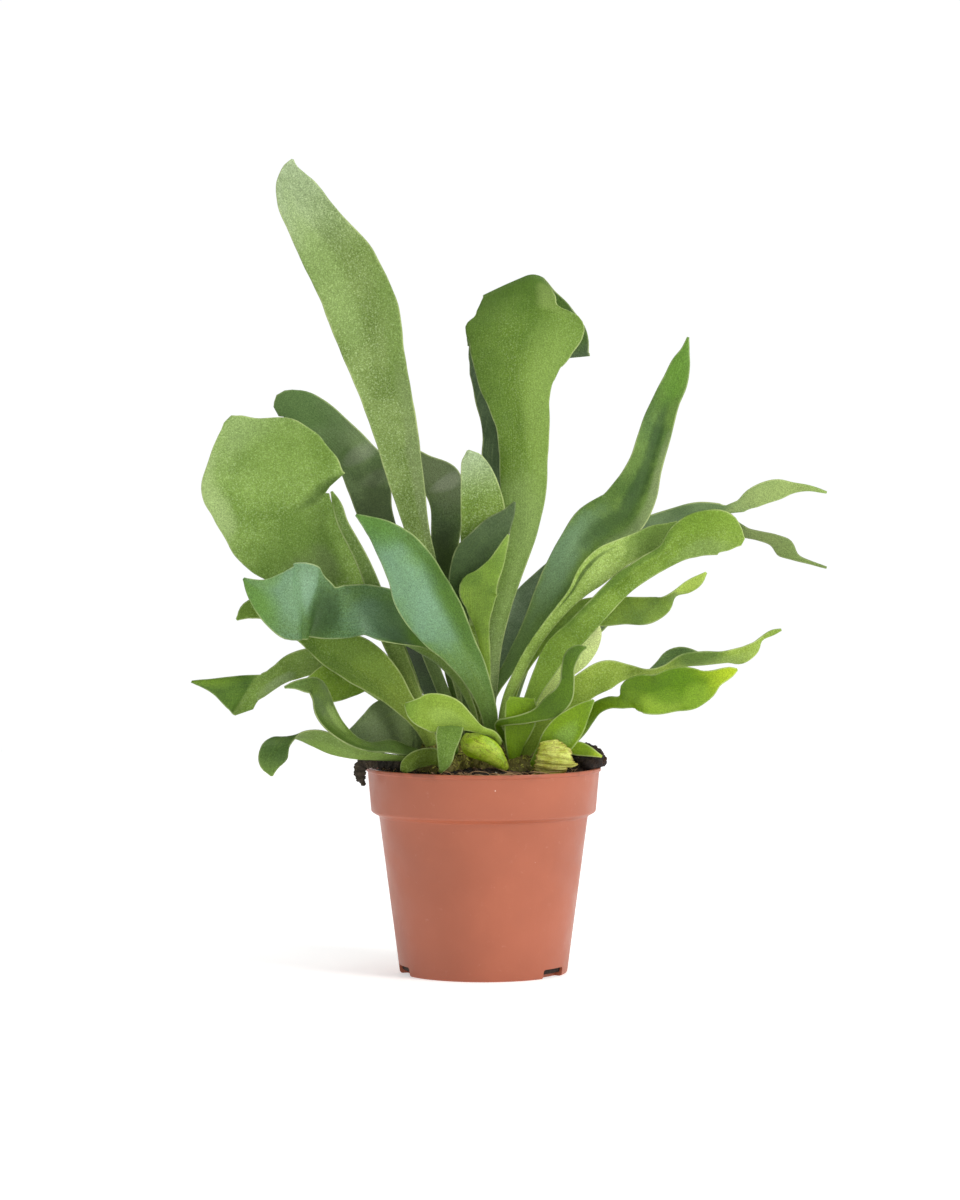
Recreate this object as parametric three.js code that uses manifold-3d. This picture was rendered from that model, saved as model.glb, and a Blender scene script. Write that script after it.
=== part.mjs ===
import * as THREE from "three";
import Module from "manifold-3d";

const wasm = await Module();
wasm.setup();

// Millimetres, +Z up, origin at the centre of the pot's underside, -Y is the front.

// Pot
const POT_HEIGHT = 105.2;
const RIM_RADIUS = 60;
const LIP_HEIGHT = 2.1;
const LIP_PROUD = 0.8;
const COLLAR_BOTTOM_Z = 82.6;
const COLLAR_BOTTOM_RADIUS = 57.4;
const BODY_TOP_Z = 80.4;
const BODY_TOP_RADIUS = 53.4;
const BASE_RADIUS = 42.8;
const BASE_CHAMFER = 1.2;
const WALL = 1.3;
const FLOOR = 1.8;
const POT_SEGMENTS = 48;
const NOTCH_HEIGHT = 4.8;
const NOTCH_HALF_WIDTH = 8.6;
const NOTCH_DEPTH = 5;
const NOTCH_ANGLES = [-34, -162, 88];

// Soil
const GAP = 0.3;
const SOIL_SEGMENTS = 36;
const SOIL_EDGE_Z = 101.6;
const SOIL_CROWN_RISE = 4.4;
const SOIL_ROUGHNESS = 0.4;
const SOIL_ROUGHNESS_WAVES = [[0.42, 0.31], [0.23, -0.53]];
const SOIL_CROWN_TURN = 1.5;
const SOIL_SWELL = { centre: [52, 2], spread: [15, 26], rise: 1.6 };
const SOIL_RINGS = [12, 23, 33, 42, 50];
const SOIL_OUTER_RADIUS = 57;
const WALL_GAP = 0.5;
const FLOOR_GAP = 0.36;
const SOIL_HEAP = { centre: [52, 2, 106], radii: [11, 20, 10], seed: 5 };
const SOIL_HEAP_ROUGHNESS = 0.09;
const CLEARANCE_WIDTH = 8;
const CLEARANCE_DEPTH = 20;

// Leaves
const VIEW_X = -1.8;
const VIEW_DISTANCE = 1900;
const VIEW_Z = 245;
const ROW_STEP = 13;
const EDGE_THICKNESS = 0.8;
const BLADE_THICKNESS = 1.3;
const STALK_THICKNESS = 2.4;
const STALK_FADE = 28;
const WIDE_COLUMNS = [-1, -0.55, 0, 0.55, 1];
const NARROW_COLUMNS = [-1, 0, 1];
const NARROW_LIMIT = 6;

const COLOURS = {
  tealTop: 0x4f7d4c,
  darkTop: 0x3d5a34,
  greenTop: 0x55782b,
  brightTop: 0x6f9a1e,
  paleUnder: 0x93ad68,
  greenUnder: 0x74953a,
  young: 0x9bb552,
  dry: 0xb9b05e,
  dead: 0x2c2119,
  pot: 0xb7664f,
  soil: 0x1d1714,
  rhizome: 0x4a3a22,
};

// A path lists stations from the root to the tip: x and z as they appear from the front,
// depth y, half-widths left and right of the midrib, turn of the blade about its midrib,
// the bend of the left and the right half, and the slant of the cross-section along the
// midrib. Angles are in degrees.
const LEAVES = {
  frond_tall: {
    colour: "paleUnder",
    path: [
      [-6, 116, 5, 3, 3, 0],
      [-9, 135, 5, 3, 3, 0],
      [-13, 152, 6, 3.5, 3.5, 0],
      [-20, 177, 7, 4, 4, 0],
      [-27, 201, 6, 5, 5, 0],
      [-33.5, 225, 4, 6, 6, 0, 5, 5],
      [-40.2, 255, 0, 9.3, 9.3, 0, 15, 10],
      [-47.3, 286, -5, 12, 12.2, 0, 20, 10],
      [-54.6, 311, -12, 14.5, 14.8, 0, 25, 10],
      [-61, 335, -20, 18, 18, 0, 25, 10],
      [-67, 350, -26, 17.5, 18, 0, 25, 5],
      [-73.3, 362, -30, 17, 17.5, 0, 20, 5],
      [-81, 374, -34, 15, 15, 0, 15, 5],
      [-89, 386, -39, 12.5, 13, 0, 12, 5],
      [-94.5, 397, -43, 11, 11, 0, 10, 5],
      [-97.5, 405.5, -45, 7.5, 7.5, 0],
      [-98, 411.5, -46, 3.4, 3.2, 0],
      [-97.2, 415, -46, 0.6, 0.6, 0],
    ],
  },
  frond_hooded: {
    colour: "greenUnder",
    across: [1, 0, 0],
    path: [
      [2.5, 117, 1, 3, 3, 0],
      [2.5, 130, 2, 3, 3, 0],
      [4, 150, 4, 3, 3.5, 0],
      [5.4, 168, 6, 4, 4, 0],
      [9, 185, 8, 4.5, 4.5, 0],
      [14.5, 205, 10, 5.5, 5.5, 0],
      [20.5, 226, 12, 7, 7, 0],
      [20.5, 246, 13, 11.5, 11.5, 0, -10, -10],
      [20.3, 265, 14, 12.5, 12.7, 0, -15, -15],
      [19.9, 282, 15, 14.2, 14, 0, -15, -15],
      [18.4, 292, 16, 16.6, 16, 0, -20, -20],
      [17, 303, 17.5, 20.6, 19.6, 0, -22, -22],
      [17.9, 314, 20, 25.4, 22.6, 0, -25, -25],
      [19.8, 322, 23, 29.8, 26.8, 0, -25, -25],
      [20.8, 329.4, 26, 31.2, 31.2, 0, -22, -22],
      [21, 333.2, 28.2, 31.6, 31, -1, -20, -20],
      [21, 336, 30, 30.4, 27, -5, -14, -14],
      [21, 338.8, 31.9, 27, 18.6, -8, -12, -8],
      [21.2, 343.6, 36.5, 26, 16, -13, -8, -8],
      [21.4, 349, 43.5, 25, 12.6, -19, -5, -20],
      [21.6, 353.4, 51.5, 24.6, 9.6, -22, -3, -40],
      [21.8, 355.2, 59, 24.6, 9, -22, -3, -50],
      [22.2, 352.6, 67, 24, 10, -18, -3, -30],
      [23, 345.6, 73.6, 25.4, 14.6, -12, 0, -10],
      [23.4, 337.4, 78.6, 28, 23, -6],
      [23.2, 330, 80.6, 31, 30.2, 0],
      [22.6, 325, 81.6, 32, 32.6, 0],
      [21.9, 320.6, 82.3, 31.6, 33.6, 0],
      [21.6, 317.8, 82.7, 31, 33, 0],
      [21.4, 316, 82.9, 31, 20, 0],
      [20.4, 312.4, 83.2, 30, 17, 0],
      [18, 304, 83, 28, 15, 0],
      [15.4, 297, 83, 24.6, 12, 0],
      [12.4, 289, 82, 18.4, 10, 0],
      [10.5, 281, 81.5, 13, 8, 0],
      [9, 272, 81, 9.8, 7, 0],
      [8, 262, 80.5, 9, 6, 0],
      [9, 252, 80, 6.5, 5, 0],
      [10, 244, 79.5, 4, 3.4, 0],
      [10.6, 237, 79, 0.6, 0.6, 0],
    ],
  },
  frond_pale_tip: {
    colour: "young",
    path: [
      [-4, 117, 8.5, 3, 3, 0],
      [-4.5, 132, 8.5, 3, 3, 0],
      [-5, 152, 8, 3, 3, 0],
      [-4.5, 176, 6.5, 4, 4, 0],
      [-3.4, 200, 4.5, 7, 7, 0],
      [-1.5, 220, 3, 10, 10, 0, 5, 5],
      [-0.6, 236, 2, 11, 11.3, 0, 10, 10],
      [-2.4, 250, 1, 9.3, 9.3, 0, 10, 10],
      [-5, 259, 0, 6.8, 7, 0, 5, 5],
      [-6.8, 264, -1, 4.2, 4.2, 0],
      [-8, 267, -1, 0.6, 0.6, 0],
    ],
  },
  frond_young_centre: {
    colour: "brightTop",
    path: [
      [1.5, 117, -5, 2.5, 2.5, 0],
      [1.5, 132, -5, 2.5, 2.5, 0],
      [1, 150, -6, 2.5, 2.5, 0],
      [0.5, 165, -8, 2.7, 2.7, 0],
      [-1, 177, -9, 3.8, 3.8, 0],
      [-2, 187, -11, 7, 7, 0, 10, 10],
      [-2, 196, -13, 10.3, 9.6, 0, 15, 10],
      [1.6, 202, -14, 6.4, 6.4, 0, 10, 5],
      [5.8, 209, -14, 3.6, 4.6, 0],
      [9.2, 216, -15, 2.2, 2.6, 0],
      [12.8, 224, -15, 0.6, 0.6, 0],
    ],
  },
  frond_small_dark: {
    colour: "darkTop",
    path: [
      [-6.6, 117, 1.8, 2.8, 2.8, 0],
      [-8, 135, 2.8, 2.8, 2.8, 0],
      [-9.6, 152, 2.8, 3, 3, 0],
      [-11, 173, 0, 4, 4, 0],
      [-11.4, 190, -2.6, 5.5, 5.5, 0],
      [-9, 202, -4.5, 8.6, 8, 0, 5, 5],
      [-4.5, 211.5, -5, 10.8, 9, 0, 10, 5],
      [1.5, 220, -7, 9.2, 8.6, 0, 10, 5],
      [8, 228.5, -9, 6.6, 6.4, 0],
      [13, 235, -11, 3, 3, 0],
      [16, 240.6, -12, 0.6, 0.6, 0],
    ],
  },
  frond_dark_left: {
    colour: "darkTop",
    path: [
      [-11, 116, 15, 3, 3, 0],
      [-16, 132, 16, 3, 3, 0],
      [-24, 152, 18, 3, 3, 0],
      [-34, 180, 22, 4, 4, 0],
      [-45, 212, 25, 5.5, 5.5, 0],
      [-54.5, 236, 26, 10.2, 8, 0, 15],
      [-58.5, 250, 26, 11.5, 11, 0, 20],
      [-61.8, 257.4, 26.6, 11, 12.6, 0, 20],
      [-66, 264, 27, 10.5, 11, 0, 15, 5],
      [-77, 275, 29, 10, 10.6, 0, 5, 5],
      [-88, 283, 31, 9.5, 11.8, 0, 5, 5],
      [-96.5, 287.6, 33, 8.4, 10.4, 0],
      [-102, 288.6, 34, 6.6, 8, 0],
      [-105.8, 286.6, 34, 3, 3, 0],
    ],
  },
  frond_dark_middle: {
    colour: "darkTop",
    path: [
      [-8, 116, 23, 3, 3, 0],
      [-10, 132, 21, 4, 3, 0],
      [-13, 151, 20, 6, 3, 0],
      [-17.5, 180, 20, 7, 4, 0],
      [-20, 205, 21, 7, 5.5, 0],
      [-19.2, 226, 21, 7.4, 7.6, 0, 5, 5],
      [-19.8, 240, 20, 7.6, 10, 0, 10, 10],
      [-24, 250.5, 20, 8, 12.6, 0, 10, 15],
      [-31, 257.5, 21, 7, 7.6, 0, 10, 10],
      [-38, 260.5, 22, 5, 7, 0],
      [-45, 261, 22, 0.6, 0.6, 0],
    ],
  },
  frond_broad_left: {
    colour: "paleUnder",
    path: [
      [-28, 116, 3, 3, 3, 0],
      [-31, 130, 3, 2.8, 2.8, 0],
      [-36, 148, 3, 2.8, 2.8, 0],
      [-43, 165, 4, 3.5, 3.5, 0],
      [-53, 182, 5, 7, 6, 0, 10],
      [-66, 197.5, 5, 17, 10, 0, 10],
      [-80, 213, 4, 28, 13, 0, 10, 5],
      [-91, 227, 2, 35, 18, 0, 10, 10],
      [-95.8, 233, 1.4, 36.2, 21, 0, 10, 10],
      [-97.4, 235.2, 1.2, 36.4, 21.8, 0, 10, 10],
      [-98, 236.2, 1, 36.4, 33, 0, 10, 10],
      [-98.7, 237.2, 0.9, 36.4, 33.2, 0, 10, 10],
      [-102, 242, 0, 36.2, 34.4, 0, 10, 10],
      [-107.6, 251, -2, 35.6, 33.4, 0, 10, 12],
      [-113, 259.5, -4, 34.4, 32, 0, 8, 12],
      [-119, 269, -6, 29.4, 25.6, 0, 5, 10],
      [-124.5, 276.5, -8, 18, 11, 0],
      [-128, 281, -10, 9.6, 5.4, 0],
      [-130.2, 283.2, -11, 3.4, 2.4, 0],
    ],
  },
  frond_narrow_left: {
    colour: "greenUnder",
    path: [
      [-26, 116, -9, 2.5, 2.5, 0],
      [-29, 127, -8, 2.5, 2.5, 0],
      [-35, 143, -5, 3.2, 3, 0],
      [-42, 160, -4, 5.2, 3.6, 0, 10, 5],
      [-50, 180, -4, 5.6, 3.6, 0, 10, 5],
      [-56.8, 198, -5, 3.7, 3.7, 0, 15, 10],
      [-61.5, 210, -5, 3.4, 3.2, 0, 15, 10],
      [-66.5, 220, -6, 3.2, 2.8, 0, 15, 10],
      [-71.5, 230, -6, 3, 2.2, 0],
      [-74.5, 239, -6, 2.4, 2, 0],
      [-77.6, 246, -6, 0.6, 0.6, 0],
    ],
  },
  frond_teal_front: {
    colour: "tealTop",
    path: [
      [4.2, 116, -9, 3.2, 3.2, 0],
      [3, 131, -10, 4, 4, 0],
      [-1.2, 145, -12, 5.5, 5.5, 0],
      [-6, 155, -15, 7.4, 7.4, 0],
      [-12.2, 165, -18, 9.6, 9.2, 0, 8, 8],
      [-21.4, 178, -22, 13.4, 13.4, 0, 10, 10],
      [-30.4, 192, -26, 14.8, 14.6, 0, 10, 10],
      [-37.2, 206, -29, 12.6, 13, 0, 8, 8],
      [-44.6, 217, -30, 10.2, 10.6, 0, 6, 6],
      [-52.5, 225.5, -31, 6.8, 6.6, 0],
      [-60, 231, -31, 3.2, 2.6, 0],
      [-65.2, 234, -32, 0.6, 0.6, 0],
    ],
  },
  frond_teal_side: {
    colour: "tealTop",
    path: [
      [-1.5, 116, -5.5, 3, 3, 95, 20, 20],
      [-5.4, 133, -5.5, 4, 4, 95, 50, 50],
      [-12, 146, -5, 6, 6, 92, 65, 60],
      [-23, 158, -4, 9, 9, 85, 70, 50],
      [-35.5, 166.5, -5, 11, 12, 70, 65, 25],
      [-47, 176.5, -9, 12, 19, 32, 45, 5],
      [-60, 185, -15, 12.5, 13.4, 10, 15, 5],
      [-72, 184.4, -18, 13.6, 13.4, 5, 5, 5],
      [-80, 186, -19, 15.4, 11.6, 0, 5, 5],
      [-84.5, 187.8, -21, 17.2, 14, 0, 5, 5],
      [-88, 188.6, -24, 18.2, 18, 0, 5, 5],
      [-92, 189.5, -27, 19.2, 19.8, 0, 8, 5],
      [-100, 189.5, -33, 18.5, 18, 0, 10, 5],
      [-108, 191.5, -36, 12.5, 13.8, 0, 8, 5],
      [-115, 195, -38, 6.6, 7.4, 0],
      [-120, 199.2, -39, 2.8, 2.6, 0],
      [-122.6, 201.6, -39, 0.6, 0.6, 0],
    ],
  },
  frond_strap_left: {
    colour: "greenUnder",
    path: [
      [-25, 114, -17, 3, 3, 0],
      [-32, 127, -16, 4, 4, 0],
      [-42, 138.5, -14, 5.6, 6.4, 0],
      [-52, 149, -12, 8.4, 10.4, 0, 5, 5],
      [-64, 158, -8, 10.4, 13, 0, 5, 8],
      [-78, 164.5, -3, 8, 11, 0, 0, 5],
      [-92, 173.5, -2, 4.8, 9, 0],
      [-104, 181, -5, 5, 8.5, 0],
      [-113, 185, -7, 4, 7.4, 0],
      [-120, 184.6, -8, 3.6, 5, 0],
      [-126.2, 180.4, -8, 0.6, 0.6, 0],
    ],
  },
  frond_twisted_left: {
    colour: "greenUnder",
    path: [
      [-22, 107.6, 9, 3, 3, -60, -10, -10],
      [-27.6, 115, 15, 3, 3, -60, -10, -10],
      [-36, 124, 17, 4, 4, -60, -10, -10],
      [-46, 136, 18, 5, 5, -55, -10, -10],
      [-58, 147, 19, 6.5, 6.5, -45, -5, -5],
      [-72, 155.5, 17, 7.8, 7.8, -35],
      [-86, 159.5, 13, 8.2, 7.8, -28],
      [-97, 156.8, 10, 8, 7.4, -27],
      [-105.4, 152.2, 7.4, 6.2, 5.6, -25],
      [-110.9, 150, 4.6, 9, 4.5, -16, 0, 0, -17],
      [-113.7, 149.3, 2.4, 13.2, 4.2, -6, 0, 0, -32],
      [-114.6, 149, 1.2, 16.2, 4.1, 0, 0, 0, -35],
      [-115.5, 148.9, 0.4, 20.4, 4, 0, 0, 0, -38],
      [-116.8, 148.8, 0, 20, 4, 0, 0, 0, -37],
      [-124, 148.3, 0.4, 15, 4.1, 0, 0, 0, -33],
      [-133.6, 148, 2, 7.2, 3.7, 0, 0, 0, -36],
      [-142, 148.1, 3, 2.8, 2.4, 0, 0, 0, -36],
      [-149.3, 148.8, 4, 0.6, 0.6, 0, 0, 0, -20],
    ],
  },
  frond_short_left: {
    colour: "greenUnder",
    path: [
      [-27, 113, 8, 3, 3, 0],
      [-36, 128, 7, 3, 3, 0],
      [-46, 140, 6, 3.4, 3.4, 0],
      [-56, 148.4, 4, 4, 4.6, 0],
      [-66, 150, 3, 8.6, 7.6, 0],
      [-75, 149.6, 2, 10.6, 9, 0],
      [-82, 148.6, 2, 10, 8, 0],
      [-89, 147.6, 2, 4.4, 3.6, 0],
      [-93, 147, 2, 0.8, 0.8, 0],
    ],
  },
  frond_curled_left: {
    colour: "greenTop",
    path: [
      [-25, 111.5, -24, 3, 3, 80],
      [-36, 113, -29, 4.4, 4.4, 68],
      [-47, 115.4, -34, 5.4, 5.4, 58],
      [-57, 115.2, -38, 4.6, 4.6, 66],
      [-66, 118, -41, 5.8, 5, 60, 20],
      [-74.5, 125, -43, 8.4, 5.2, 45, 40],
      [-80.6, 134, -44, 7.4, 5.2, 25, 40],
      [-83, 142, -44, 5.4, 4.6, 20, 20],
      [-86, 146.6, -44, 4.6, 4.2, 10],
      [-91.5, 147.4, -44, 3.8, 2.8, 0],
      [-97, 147, -44, 1.8, 1.6, 0],
      [-101.8, 145.8, -44, 0.6, 0.6, 0],
    ],
  },
  frond_low_left: {
    colour: "greenUnder",
    path: [
      [-27, 108, -29, 3, 3, 110],
      [-40, 109.4, -30, 4, 4, 112],
      [-54, 110.6, -30, 4.8, 4.8, 118],
      [-66, 112.6, -31, 6, 6, 128],
      [-77, 116.6, -32, 7, 7, 138],
      [-87, 120, -33, 6.8, 6.4, 130],
      [-96, 121, -35, 6, 6, 100],
      [-102.6, 118, -39, 5.4, 7, 48],
      [-107, 112.4, -42, 7.2, 7.2, 12],
      [-108.8, 106, -43, 4.8, 5.6, 0],
      [-108.3, 100.3, -43, 0.6, 0.6, 0],
    ],
  },
  frond_grey_left: {
    colour: "darkTop",
    path: [
      [-22, 113, -2, 3, 3, 0, 0, 0, 20],
      [-29, 123.5, -4, 10.5, 5, 0, 0, 0, 50],
      [-36, 131.5, -4, 17, 6, 0, 0, 0, 30],
      [-44, 133, -5, 18, 8, 0],
      [-51, 130.5, -7, 16.5, 8.6, 0],
      [-58.5, 126.6, -9, 13, 6, 0],
      [-65, 123.6, -11, 7, 3.2, 0],
      [-70.6, 122, -12, 0.6, 0.6, 0],
    ],
  },
  frond_young_pale: {
    colour: "young",
    path: [
      [8, 117, -20, 2, 2, 0],
      [5, 121.5, -26, 1.8, 1.8, 0],
      [-2, 124.4, -32.5, 2, 2, 0],
      [-9, 128, -36.4, 4.4, 5, 0, 10],
      [-17, 132, -38, 8.6, 8, 0, 15, 5],
      [-26, 134, -39, 10.8, 8.6, 0, 15, 10],
      [-33.5, 134.6, -39, 7.4, 6.6, 0, 10, 25],
      [-38, 136.2, -39, 3.6, 3.6, 0, 0, 40],
      [-40.2, 137.4, -39, 0.8, 0.8, 0],
    ],
  },
  frond_young_hanging: {
    colour: "greenTop",
    across: [1, 0, 0],
    path: [
      [-15.4, 112, -27.4, 2.2, 2.2, 0],
      [-15.8, 117, -32, 2.8, 2.8, 0],
      [-16, 120.8, -37.4, 4, 4, 0],
      [-16.2, 124.6, -42, 5.8, 5.8, 0],
      [-16.8, 125, -45.5, 6.2, 6.2, 0],
      [-17.8, 121, -47.5, 6.4, 6, 0],
      [-18.8, 114.6, -48, 4.8, 4.4, 0],
      [-19.8, 108, -48.4, 3.4, 3.4, 0],
      [-22, 102, -48.4, 0.8, 0.8, 0],
    ],
  },
  shield_front: {
    colour: "young",
    path: [
      [11.5, 103.9, -28.6, 2, 2, 0, -10, -10, 3],
      [9.8, 106.1, -30, 3, 3, 0, -25, -25, 3],
      [7.2, 108.8, -31.6, 4.6, 4.6, 0, -35, -35, -9],
      [3.8, 111.7, -32.8, 6.2, 6.2, 0, -35, -35, -15],
      [-0.8, 114.4, -33.2, 7.2, 7.2, 0, -35, -35, -19],
      [-5.4, 116.5, -32, 6.9, 6.9, 0, -35, -35, -13],
      [-8.7, 118.6, -29.6, 5.3, 5.3, 0, -30, -30, 2],
      [-10.5, 120.4, -27.4, 3.1, 3.1, 0, -20, -20, 12],
    ],
  },
  frond_tiny_arched: {
    colour: "young",
    path: [
      [-20, 108, -31.5, 3.4, 3.4, 0],
      [-26, 110.2, -36.4, 4, 4.4, 0],
      [-31.5, 109.8, -38, 4.6, 4.4, 0],
      [-36.6, 107.6, -39, 4, 4, 0],
      [-40, 104.4, -40.5, 3, 3, 0],
      [-41.2, 102.4, -41, 1.6, 1.6, 0],
    ],
  },
  shield_dry: {
    colour: "dry",
    path: [
      [32.5, 100, -35, 7, 8.4, 0, -15, -15],
      [33.3, 103.6, -37, 7.2, 9, 0, -15, -15],
      [33.5, 105.4, -37.8, 7.2, 9.4, 0, -15, -15],
      [33.7, 106.7, -38.2, 7.2, 14, 0, -15, -15],
      [33.8, 108, -38.4, 7, 13, 0, -15, -15],
      [34, 110, -38.8, 6.8, 11.4, 0, -15, -15],
      [34.2, 112.4, -38.6, 6.4, 10.8, 0, -15, -15],
      [34, 114.9, -38, 6, 8.4, 0, -15, -15],
      [33.6, 117, -37.2, 5.8, 6, 0, -10, -10],
      [33.2, 118.6, -36.4, 4.8, 4.6, 0, -10, -10],
    ],
  },
  frond_upright_right: {
    colour: "tealTop",
    path: [
      [-2, 116, 11, 3, 3, 0],
      [-1, 127, 12, 3, 3, 0],
      [1.6, 137, 13, 3, 3, 0],
      [6, 146, 13, 3, 3, 0],
      [11, 153.4, 13, 3, 3.2, 0],
      [16.4, 162.4, 13, 3.6, 3.6, 0],
      [23.8, 176, 14, 4.6, 5.6, 0],
      [31.5, 190, 15, 7, 8, 0, 5],
      [38.6, 203, 16, 8.6, 9, 0, 8],
      [46, 215.5, 17, 9.6, 9.4, 0, 8],
      [57, 227, 19, 12.6, 12, 0, 5, 5],
      [69.5, 234.6, 21, 13, 13.4, 0, 5, 5],
      [77.6, 246.5, 23, 11.2, 11.6, 0, 5, 10],
      [82.6, 259.4, 24, 8.8, 8.8, 0, 5, 15],
      [86.2, 271.2, 25, 8.2, 8.4, 0, 5, 15],
      [89.2, 280.6, 26, 8, 8, 0, 5, 15],
      [92.9, 291.5, 27, 6.9, 7, 0, 5, 10],
      [98, 303, 28, 6.1, 6.3, 0],
      [101, 312, 29, 4.6, 4.4, 0],
      [103.2, 319, 29, 1.9, 1.7, 0],
      [104.3, 324.6, 29, 0.6, 0.6, 0],
    ],
  },
  frond_shade_right: {
    colour: "darkTop",
    path: [
      [-4, 115, 18, 3, 3, 0],
      [-3, 127, 19, 3, 3, 0],
      [0, 139, 20, 3, 3, 0],
      [5, 151, 20, 3.4, 3.2, 0],
      [11, 165, 21, 6, 6, 0],
      [17, 178.4, 22, 9.6, 8, 0],
      [24, 190.5, 24, 8.4, 8, 0],
      [31, 201, 26, 5.6, 6, 0],
      [38, 210, 28, 3, 3, 0],
      [43, 216, 29, 0.6, 0.6, 0],
    ],
  },
  frond_folded_right: {
    colour: "paleUnder",
    path: [
      [11, 113, -6, 2.4, 2.4, 0],
      [10, 126, -6, 2.4, 2.4, 0],
      [12, 139, -6, 2.4, 2.4, 0],
      [17, 151, -7, 2.6, 2.6, 0],
      [22.6, 162, -7, 2.6, 2.6, 0],
      [30.4, 174, -8, 2.6, 2.6, 0, 20, 0],
      [39.6, 185.5, -9, 3, 3, 0, 30, 0],
      [46.6, 193.4, -10, 4, 4, 0, 30, 0],
      [54, 202.6, -10, 7.2, 7.2, 0, 35, 0],
      [62, 209.8, -10, 8.2, 8.2, 0, 35, 0],
      [71, 215, -10, 7, 7, 0, 25, 0],
      [80, 219.4, -9, 6, 6.6, 0, 15, 0],
      [88.6, 223.4, -8, 5.6, 5.6, 0],
      [94.6, 227, -8, 3, 3.2, 0],
      [99, 230.4, -8, 0.6, 0.6, 0],
    ],
  },
  frond_broad_right: {
    colour: "greenUnder",
    path: [
      [15, 111, -11, 3, 3, 0],
      [19, 126, -11, 3, 3, 0],
      [24.4, 140.4, -12, 3.4, 3.4, 0],
      [30.6, 153, -13, 5, 5, 0],
      [37.6, 164.8, -15, 6.4, 6.4, 0],
      [47.4, 174, -17, 6.4, 6.2, 0, 0, 5],
      [58.6, 186, -19, 6, 6, 0, 0, 5],
      [71.5, 199, -20, 5.7, 5.6, 0, 0, 5],
      [83.5, 207.4, -21, 5.7, 5.6, 0],
      [94, 213.8, -22, 6, 6, 0],
      [103, 220.6, -23, 10, 9.4, 0],
      [113.6, 224.6, -24, 11.4, 11, 0],
      [122, 225, -25, 10.6, 10.8, 0],
      [128, 222.6, -25, 6.6, 7.4, 0],
      [132.6, 220.2, -26, 2, 2.4, 0],
    ],
  },
  frond_forked_right: {
    colour: "darkTop",
    path: [
      [8, 112, 25, 3, 3, 0],
      [12, 130, 29, 3, 3, 0],
      [22, 160, 36, 3, 3, 20],
      [40, 195, 38, 3, 3, 40],
      [60, 218, 39, 4, 4, 50],
      [78, 228, 39, 5, 5, 55],
      [94, 232.6, 38, 6, 6, 50],
      [110, 235.2, 37, 7, 7.4, 40],
      [123.6, 234.6, 36, 5.6, 8.6, 30],
    ],
    lobes: [
      [
        [131, 238.6, 36, 3.4, 4, 25],
        [137, 242.4, 35, 5.2, 5.6, 20],
        [144, 245.4, 35, 6, 6, 20],
        [151, 247, 35, 5.6, 5.4, 20],
        [158, 247.8, 35, 2.8, 2.8, 15],
        [166, 247.6, 34, 1.4, 1.4, 10],
        [175.2, 245.4, 34, 0.6, 0.6, 0],
      ],
      [
        [133, 226, 36, 2, 3.6, 10],
        [141, 223.2, 37, 2.4, 2.4, 0],
        [148, 221, 38, 3.2, 3, 0],
        [153.6, 217.4, 39, 4.8, 5.2, 0],
        [160, 212.2, 40, 1.6, 1.8, 0],
        [167, 209.6, 41, 0.8, 0.8, 0],
        [175.2, 207, 42, 0.6, 0.6, 0],
      ],
    ],
  },
  frond_strap_right: {
    colour: "greenTop",
    path: [
      [10, 112, 5, 2.4, 2.4, 0],
      [12, 129, 4, 2.4, 2.4, 0],
      [16.6, 148, 3, 2.4, 2.4, 0],
      [26.6, 164.6, 4, 2.8, 2.8, 0],
      [38.4, 178, 5, 3.6, 3.6, 0],
      [49, 185, 5, 5, 5.4, 0],
      [60, 185.6, 4, 6.6, 8.4, 0, 5, 5],
      [72, 185.2, 2, 6.9, 7, 0, 5, 5],
      [84, 185.3, 0, 6.7, 6.7, 0, 5, 5],
      [91.6, 188, -1, 5, 5, 20],
      [97.2, 193.4, -2, 3.2, 3.2, 60],
      [104.2, 197, -3, 3.3, 3.3, 25],
      [110, 200.8, -4, 2.4, 2.4, 0],
      [113.8, 204.6, -4, 0.6, 0.6, 0],
    ],
  },
  frond_pale_right: {
    colour: "young",
    path: [
      [18, 112, -2, 2.4, 2.4, 0],
      [24, 130, -2, 2.4, 2.4, 0],
      [33, 147, -3, 4.4, 4.4, 0],
      [42, 155, -3, 4.4, 4.6, 0],
      [50, 161, -3, 4, 4.4, 0],
      [55.4, 168.4, -2, 3.6, 3.8, 0],
      [58.4, 174.4, -2, 2.2, 1.8, 0],
      [58.6, 178, -2, 0.6, 0.6, 0],
    ],
  },
  frond_funnel: {
    colour: "brightTop",
    path: [
      [15.2, 107, -20, 2, 2, 0],
      [15.6, 115, -21, 4, 4.6, 0, 15, 15],
      [16.2, 123, -22, 5.4, 8, 0, 20, 20],
      [17.4, 129.6, -23, 6.6, 9.4, 0, 20, 20],
      [18.6, 134.4, -23, 7.6, 8.6, 0, 20, 20],
      [19.4, 138.4, -23, 8, 8, 0, 20, 20],
      [19.6, 140.8, -23, 7.4, 7.4, 0, 20, 20],
    ],
  },
  frond_hook_right: {
    colour: "darkTop",
    path: [
      [14, 108, -15, 1.8, 1.8, 0],
      [13, 115, -15.5, 1.8, 1.8, 0],
      [10.4, 121, -16.5, 1.8, 1.8, 0],
      [7.8, 125, -19, 1.8, 1.8, 0],
      [8, 127.2, -23, 1.8, 1.8, 0],
      [12.6, 128.4, -27, 1.8, 1.8, 0],
      [20, 129.6, -29, 2.4, 2.4, 0],
      [27, 131.6, -30, 3.2, 3.2, 0],
      [34.4, 135.4, -31, 5.6, 5.4, 0],
      [40.2, 141, -32, 5.4, 5.2, 0],
      [42.8, 149, -33, 3.5, 3.5, 0],
      [43.2, 156, -34, 3.2, 3.2, 0],
      [45.2, 162, -34, 3.5, 3.5, 0],
      [48.2, 165, -35, 2.6, 2.6, 0],
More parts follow.
